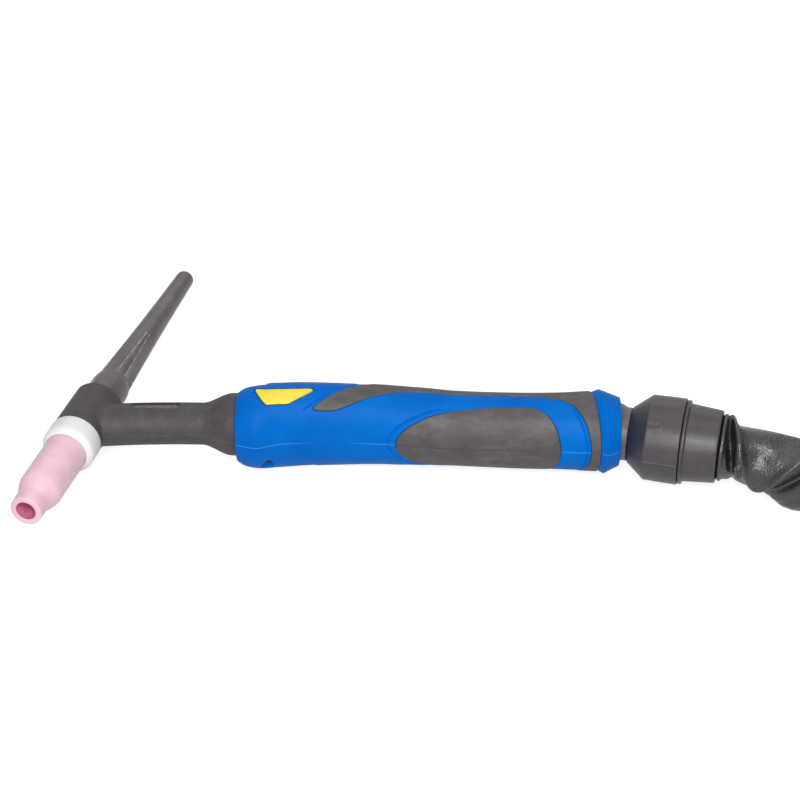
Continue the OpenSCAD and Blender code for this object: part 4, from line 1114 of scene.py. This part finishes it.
def cover_depth(p):
    """Distance to the skin of the moulded cover, with its oval recess and bores."""
    along = p @ HEAD_RUN
    across = np.linalg.norm(p - along[:, None] * HEAD_RUN, axis=1)
    head = rounded_cylinder(across, along - HEAD_MIDDLE, 12.7, 14.9, 0.7)
    whole = joined(head, neck_depth(p), 0.9)
    recess = 0.9 * eased((2.6 - oval_gap(p)) / 0.4)
    whole = whole + recess * (p[:, 0] > 15)
    core = rounded_cylinder(across, along - HEAD_MIDDLE, 8.45, 14.15, 0.1)
    mouths = rounded_cylinder(across, along, 7.9, 20, 0.1)
    tube = np.maximum(off_neck_axis(p) - BORE_R, -p[:, 0])
    return np.maximum(whole, -np.minimum(np.minimum(core, mouths), tube))


def neck_rings(stations, radius, count):
    """Rings along the neck's axis, of a radius that may change along it."""
    rings = []
    for x in stations:
        bend = math.sqrt(BEND**2 - (NECK_FROM - x) ** 2) - BEND if x < NECK_FROM else 0.0
        turns = np.linspace(0, 2 * math.pi, count, endpoint=False)
        rings.append([(x, bend + radius(x) * math.cos(a), radius(x) * math.sin(a)) for a in turns])
    return rings


def rough_neck_radius(x):
    t = max(x - NECK_FROM, 0) / FLARE_LENGTH
    return 10.5 + FLARE * ease(min(t * 1.15, 1)) ** 0.9


def head_cover():
    """Cover of head and neck: a rough union of round bars, filled with small even faces that are then
    drawn onto the exact skin."""
    middle = HEAD @ Matrix.Translation((0, 0, HEAD_MIDDLE * MM))
    stations = np.concatenate([np.linspace(4, NECK_FROM, 20), np.linspace(NECK_FROM + 2, 74.1, 9)])
    piece = lofted("head_cover", neck_rings(stations, rough_neck_radius, 48))
    for radius, depth, place, operation in (
        (12.9, 30.2, middle, "UNION"), (9.2, 13.2, Matrix.Translation((78 * MM, 0, 0)) @ ALONG, "UNION"),
        (8.4, 28.3, middle, "DIFFERENCE"), (7.8, 44, HEAD, "DIFFERENCE"),
    ):
        tool = bar(radius, depth)
        tool.data.transform(place)
        cut_with(piece, tool, operation)
    cut_with(piece, lofted("bore", neck_rings(np.linspace(4, 92, 30), lambda x: 5.0, 32)))
    apply_step(piece, "REMESH", mode="VOXEL", voxel_size=0.42 * MM, adaptivity=0)
    count = len(piece.data.vertices)
    places = np.empty(count * 3)
    piece.data.vertices.foreach_get("co", places)
    p = places.reshape(-1, 3) / MM
    for _ in range(5):
        here = cover_depth(p)
        slope = np.stack([cover_depth(p + shift) - here for shift in np.eye(3) * 0.02], axis=1) / 0.02
        size = np.maximum((slope**2).sum(axis=1), 0.25)
        p = p - np.clip(here, -0.4, 0.4)[:, None] * slope / size[:, None]
    piece.data.vertices.foreach_set("co", (p * MM).ravel())
    piece.data.update()
    finished(piece, "rubber", "handle", ["torch_body_cover"], 60)
    # the recess: a wall in painted shade and a rubbed floor
    middles = second_finishes(piece, "rubbed", "shaded")
    gaps = np.where(middles[:, 2] > 4, oval_gap(middles), 9)
    for face, gap in zip(piece.data.polygons, gaps):
        face.material_index = 1 if gap < 2.0 else 2 if gap < 2.65 else 0


head_cover()


# ---------------------------------------------------------------- back cap
CAP_ROOT, CAP_TIP = 32.6, 140.8
# the flutes: the angle of a rib, how far they run, and the rib's half width in degrees at root and end
RIB, FLUTE_LENGTH, RIB_AT_ROOT, RIB_AT_END = 214, 46, 15.5, 7.0
DOME_T, DOME_R = 26.6, 9.7


def cap_shaft(t):
    left = min(max(1 - (t - CAP_ROOT) / (CAP_TIP - CAP_ROOT), 0), 1.1)
    return 4.8 + 4.0 * (0.7 * left + 0.3 * left**3)


def off_rib(angles):
    """Degrees from the nearest rib's middle."""
    return np.abs((angles - RIB + 45) % 90 - 45)


def back_cap():
    """The long cap: a domed collar, then a tapering shaft with four flutes that run out towards its tip,
    so that the ribs between them narrow to a point."""
    inner = [(5.3, 3.3), (5.3, 11.7), (4.4, 11.7), (4.4, 13.5), (5.3, 13.5), (5.3, 15.65), (9.3, 15.65)]
    inner += [(9.6, 15.9), (DOME_R, 16.6)]
    rows = np.concatenate([
        np.linspace(17.4, 25, 12), np.linspace(25.5, 40, 66), np.linspace(40.8, 96, 70), np.linspace(97, 138.4, 40),
    ])
    angles = np.arange(0, 360, 1.5)
    off = off_rib(angles)
    rings = [ring_of(np.full(len(angles), r), angles, t) for r, t in inner]
    for t in rows:
        shaft = cap_shaft(t)
        dome = 8.8 + 0.9 * math.sqrt(max(1 - ((t - DOME_T) / 6) ** 2, 0)) if t < CAP_ROOT else 0
        full = DOME_R if t < DOME_T else max(dome, shaft)
        share = min(max((t - CAP_ROOT) / FLUTE_LENGTH, 0), 1)
        half = mix(RIB_AT_ROOT, RIB_AT_END, share)
        q = np.clip((off - half) / (45 - half), 0, 1)
        swell = np.sin(q * math.pi / 2)
        rise = (np.maximum(CAP_ROOT + 1.7 + 0.8 * (1 - swell) - t, 0) / 0.9) ** 2
        flute = shaft - 2.0 * (1 - share) ** 0.8 * swell**0.75 + rise
        rings.append(ring_of(np.where(q > 0, np.minimum(full, flute), full), angles, t))
    for k in range(1, 9):
        a = math.radians(90 * k / 8)
        r, t = 4.8 * 0.52 + 2.3 * math.cos(a), 138.45 + 2.3 * math.sin(a)
        rings.append(ring_of(np.full(len(angles), r), angles, t))
    piece = lofted("long_back_cap", rings)
    cut_with(piece, bar(1.7, 133, (0, 0, 68.5), 48))
    piece.data.transform(HEAD)
    finished(piece, "phenolic", "cap", ["back_cap"], 32)
    # the sharp edges of the flutes are rubbed pale, and painted paler still as their highlight
    for face, (x, y, t) in zip(piece.data.polygons, second_finishes(piece, "arris_wear_and_highlight", frame_of=HEAD)):
        share = (t - CAP_ROOT) / FLUTE_LENGTH
        off = off_rib(math.degrees(math.atan2(y, x))) - mix(RIB_AT_ROOT, RIB_AT_END, share)
        if 0.03 < share < 0.92 and -0.8 < off < 1.5 and math.hypot(x, y) > 3:
            face.material_index = 1


back_cap()


# ---------------------------------------------------------------- nozzle and insulator
NOZZLE_TIP, NOZZLE_BACK = -74.4, -25.9


def ceramic_nozzle():
    """Ceramic nozzle: thick rounded lip, long shoulder, and a bore with the tool's rings left in it."""
    outline = [(4.95, 0.1), (5.3, 0.0), (6.9, 0.0), (7.3, 0.12), (7.55, 0.4), (7.6, 0.8)]
    outline += [(7.6 + 0.15 * ease(t / 7), t) for t in (2.5, 4.5, 6.0, 7.0)]
    outline += [(7.7 + 2.7 * ease((t - 7.0) / 11.0), t) for t in np.linspace(7.6, 18, 22)]
    outline += [(10.4, 30), (10.4, 47.6), (10.25, 48.2), (9.8, 48.45), (6.37, 48.45), (6.37, 33.5)]
    bore = [(4.75, 29.5)]
    for k in range(22, 0, -1):
        t = 1.6 + 1.2 * k
        bore += [(4.75, t + 0.45), (4.62, t + 0.15), (4.62, t - 0.1), (4.75, t - 0.4)]
    outline += bore + [(4.75, 0.7), (4.8, 0.35), (4.95, 0.1)]
    piece = turned("ceramic_nozzle", outline, HEAD @ Matrix.Translation((0, 0, NOZZLE_TIP * MM)), 120)
    finished(piece, "alumina", "nozzle", ["gas_nozzle"], 40)
    # faces deep in the bore take the darker ceramic: painted shade
    for face, (x, y, t) in zip(piece.data.polygons, second_finishes(piece, "alumina_painted_shade", frame_of=HEAD)):
        if math.hypot(x, y) < 6.6 and NOZZLE_TIP + 0.3 < t < NOZZLE_BACK - 0.2:
            face.material_index = 1


def insulator_ring():
    """The white ring between head and nozzle, with a chamfer towards the nozzle."""
    outline = [(10.45, 1.05), (10.45, 0.25), (10.7, 0.05), (10.9, 0.1), (12.35, 1.75), (12.8, 2.5), (12.98, 3.3)]
    outline += [(13.0, 4.2), (13.0, 12.0), (12.85, 12.4), (12.5, 12.63), (7.65, 12.63), (7.65, 9.6), (6.6, 9.6)]
    outline += [(6.6, 1.05), (10.45, 1.05)]
    piece = turned("insulator_ring", outline, HEAD @ Matrix.Translation((0, 0, -26.9 * MM)), 128)
    finished(piece, "ptfe", "handle", ["cup_insulator"], 35)


ceramic_nozzle()
insulator_ring()


# ---------------------------------------------------------------- rear collar, ball and knuckle
def leaning_ring(x, radius, lean):
    turns = np.linspace(0, 2 * math.pi, 144, endpoint=False)
    return [(x - lean * radius * math.cos(a), radius * math.cos(a), radius * math.sin(a)) for a in turns]


def rear_collar():
    """Blue collar behind the shells: a rounded ridge, then a long taper to its open end."""
    end = 259.0
    outline = [
        (17.65, 246.2, 0.19), (18.3, 246.2, 0.19), (18.65, 246.3, 0.19), (18.85, 246.6, 0.19), (19.3, 247.8, 0.17),
        (19.85, 249.0, 0.15), (20.15, 249.55, 0.142), (20.28, 249.95, 0.14), (20.28, 250.3, 0.13),
        (20.15, 250.75, 0.12), (19.95, 251.2, 0.112), (19.2, 252.9, 0.085), (17.9, 255.8, 0.04), (16.95, 258.1, 0.01),
        (16.75, 258.6, 0), (16.45, 258.9, 0), (16.0, end, 0), (15.3, end, 0), (15.15, 258.85, 0), (15.15, 257.3, 0),
        (15.97, 257.3, 0), (15.97, 250.3, 0), (17.65, 250.3, 0),
    ]
    rings = [leaning_ring(x, r, lean) for r, x, lean in outline]
    piece = lofted("collar_ring", rings + rings[:1], ends=False)
    finished(piece, "blue", "handle", ["rear_collar"], 32)


def swivel_ball():
    """The ball: its turned skin runs on into the neck that enters the knuckle."""
    outline = [(9.47, -11.6)]
    arc = np.linspace(math.asin(-11.5 / BALL_R), math.asin(6.9 / BALL_R), 34)
    outline += [(BALL_R * math.cos(a), BALL_R * math.sin(a)) for a in arc]
    outline += [(13.12, 7.4), (12.97, 7.9), (12.9, 8.6), (12.9, 10.0), (12.6, 10.3), (9.47, 10.3), (9.47, -11.6)]
    finished(turned("ball_and_neck", outline, KNUCKLE, 128), "worn", "ball", ["swivel_ball"], 35)


# the knuckle's oblong boss: how far along and round it stands, its half length and its rim's distance
BOSS_T, BOSS_TURN, BOSS_HALF, BOSS_RIM = 23.0, 128.5, 2.0, 1.25
MOULD_LINES = (180, 0.3)


def off_boss(t, turn):
    return np.hypot(max(abs(t - BOSS_T) - BOSS_HALF, 0), np.radians(turn - BOSS_TURN) * 20.8)


def knuckle_housing():
    """The knuckle: a cone and a ring with a small oblong boss, and a fine mould line in the parting plane."""
    rows = [(9.4, 10.6), (13.2, 10.6), (13.55, 10.72), (13.8, 11.0)]
    rows += [(mix(13.95, 20.3, u), mix(11.2, 18.95, u)) for u in np.linspace(0, 1, 14)]
    rows += [(20.52, 19.25), (20.65, 19.6)]
    rows += [(20.7 + 0.2 * ease((t - 19.6) / 10), t) for t in np.arange(19.85, 35.2, 0.25)]
    rows += [(20.85, 35.4), (20.7, 35.65), (20.4, 35.8), (15.45, 35.8), (15.45, 21.4), (7.4, 21.4), (7.4, -14.7)]
    rows += [(9.0, -14.7), (9.4, -14.3), (9.4, -13.6), (8.62, -13.6), (8.62, -12.45), (9.4, -12.45), (9.4, 10.6)]
    angles = np.arange(0, 360, 0.75)
    rings = []
    for r, t in rows:
        out = np.full(len(angles), r)
        if r > 13.7:
            out = out + 0.5 * bell((off_boss(t, angles) - BOSS_RIM) / 0.4) * (t > 19)
            for line in MOULD_LINES:
                away = (angles - line + 180) % 360 - 180
                out = out + 0.13 * bell(away / 0.6) * ease((t - 18.5) / 1.5)
            out = np.minimum(out, 21.3)
        rings.append(ring_of(out, 90 + angles, t))
    piece = lofted("knuckle_body", rings, ends=False)
    piece.data.transform(KNUCKLE)
    finished(piece, "dark", "cable", ["knuckle_housing"], 32)
    # the boss's rim and the mould line take the paler worn nylon: wear with a painted highlight on these raised lines
    for face, (x, y, t) in zip(piece.data.polygons, second_finishes(piece, "cone", "worn", frame_of=KNUCKLE)):
        turn = (math.degrees(math.atan2(y, x)) - 90) % 360
        raised = abs(off_boss(t, turn) - BOSS_RIM) < 0.3 or abs(turn - 180) < 0.7
        if t < 19.2:
            face.material_index = 1
        elif t < 35 and raised and math.hypot(x, y) > 18:
            face.material_index = 2


def cable_sleeve():
    outline = [(12.4, 25.8), (15.35, 25.8), (15.35, 36.2), (19.9, 36.2), (20.25, 36.35), (20.4, 36.7), (20.4, 37.3)]
    outline += [(20.25, 37.65), (19.9, 37.85), (19.3, 37.95), (18.95, 38.15), (18.8, 38.5), (18.78, 39.2)]
    outline += [(18.78 - 1.4 * (t - 39.2) / 16.0, t) for t in np.linspace(41, 52.9, 12)]
    outline += [(17.4, 53.3), (17.1, 53.5), (15.75, 53.5), (15.45, 53.2), (15.3, 48.8), (12.4, 48.8), (12.4, 25.8)]
    finished(turned("sleeve_body", outline, KNUCKLE, 144), "dark", "cable", ["cable_sleeve"], 35)


rear_collar()
swivel_ball()
knuckle_housing()
cable_sleeve()
leather_cable()


# ---------------------------------------------------------------- floor and light
def backdrop_rays(tree):
    """1 where the camera or glass sees the backdrop, a little less where a glossy surface mirrors it."""
    rays = add_node(tree, "LightPath")
    clear = sums(tree, "MAXIMUM", (rays, "Is Camera Ray"), (rays, "Is Transmission Ray"))
    gloss = sums(tree, "MULTIPLY", (rays, "Is Glossy Ray"), 0.6)
    return sums(tree, "MAXIMUM", clear, gloss)


def empty_tree(owner):
    owner.use_nodes = True
    owner.node_tree.nodes.clear()
    return owner.node_tree


def set_floor():
    # White studio paper: takes soft shadows, and is plain white to the camera.
    bpy.ops.mesh.primitive_plane_add(size=12, location=(0, 0, (FLOOR_Z - 0.05) * MM))
    floor = bpy.context.object
    floor.name = "floor"
    material = bpy.data.materials.new("studio paper")
    tree = empty_tree(material)
    paper = add_node(tree, "BsdfDiffuse", {"Color": (0.62, 0.62, 0.62, 1)})
    glow = add_node(tree, "Emission", {"Color": (1, 1, 1, 1), "Strength": 0.76})
    dark = add_node(tree, "BsdfTransparent", {"Color": (0, 0, 0, 1)})
    lit = add_node(tree, "MixShader", i0=backdrop_rays(tree), i1=(dark, 0), i2=(glow, 0))
    both = add_node(tree, "AddShader", i0=(paper, 0), i1=(lit, 0))
    add_node(tree, "OutputMaterial", i0=(both, 0))
    floor.data.materials.append(material)


def set_world():
    world = bpy.data.worlds.new("studio")
    bpy.context.scene.world = world
    tree = empty_tree(world)
    level = span(tree, backdrop_rays(tree), 0.0, 1.0, 0.22, 1.0)
    sky = add_node(tree, "Background", {"Color": (1, 1, 1, 1)}, Strength=level)
    add_node(tree, "OutputWorld", i0=(sky, 0))


def lamp(name, place, size, power):
    """A rectangular lamp in metres and watts, aimed at the handle."""
    data = bpy.data.lights.new(name, "AREA")
    data.shape = "RECTANGLE"
    data.size, data.size_y = size
    data.energy = power
    made = linked(name, data)
    made.location = place
    made.rotation_euler = (Vector((0.15, 0, 0)) - Vector(place)).to_track_quat("-Z", "Y").to_euler()


set_floor()
set_world()
lamp("key", (0.30, -1.05, 0.98), (0.8, 0.5), 12)
lamp("front", (0.05, -1.25, 0.55), (1.0, 0.25), 4)
lamp("top", (0.15, 0.1, 1.35), (1.3, 0.8), 3)
lamp("back", (0.1, 1.1, 0.8), (1.4, 0.5), 2)
bpy.context.scene.view_settings.view_transform = "Standard"
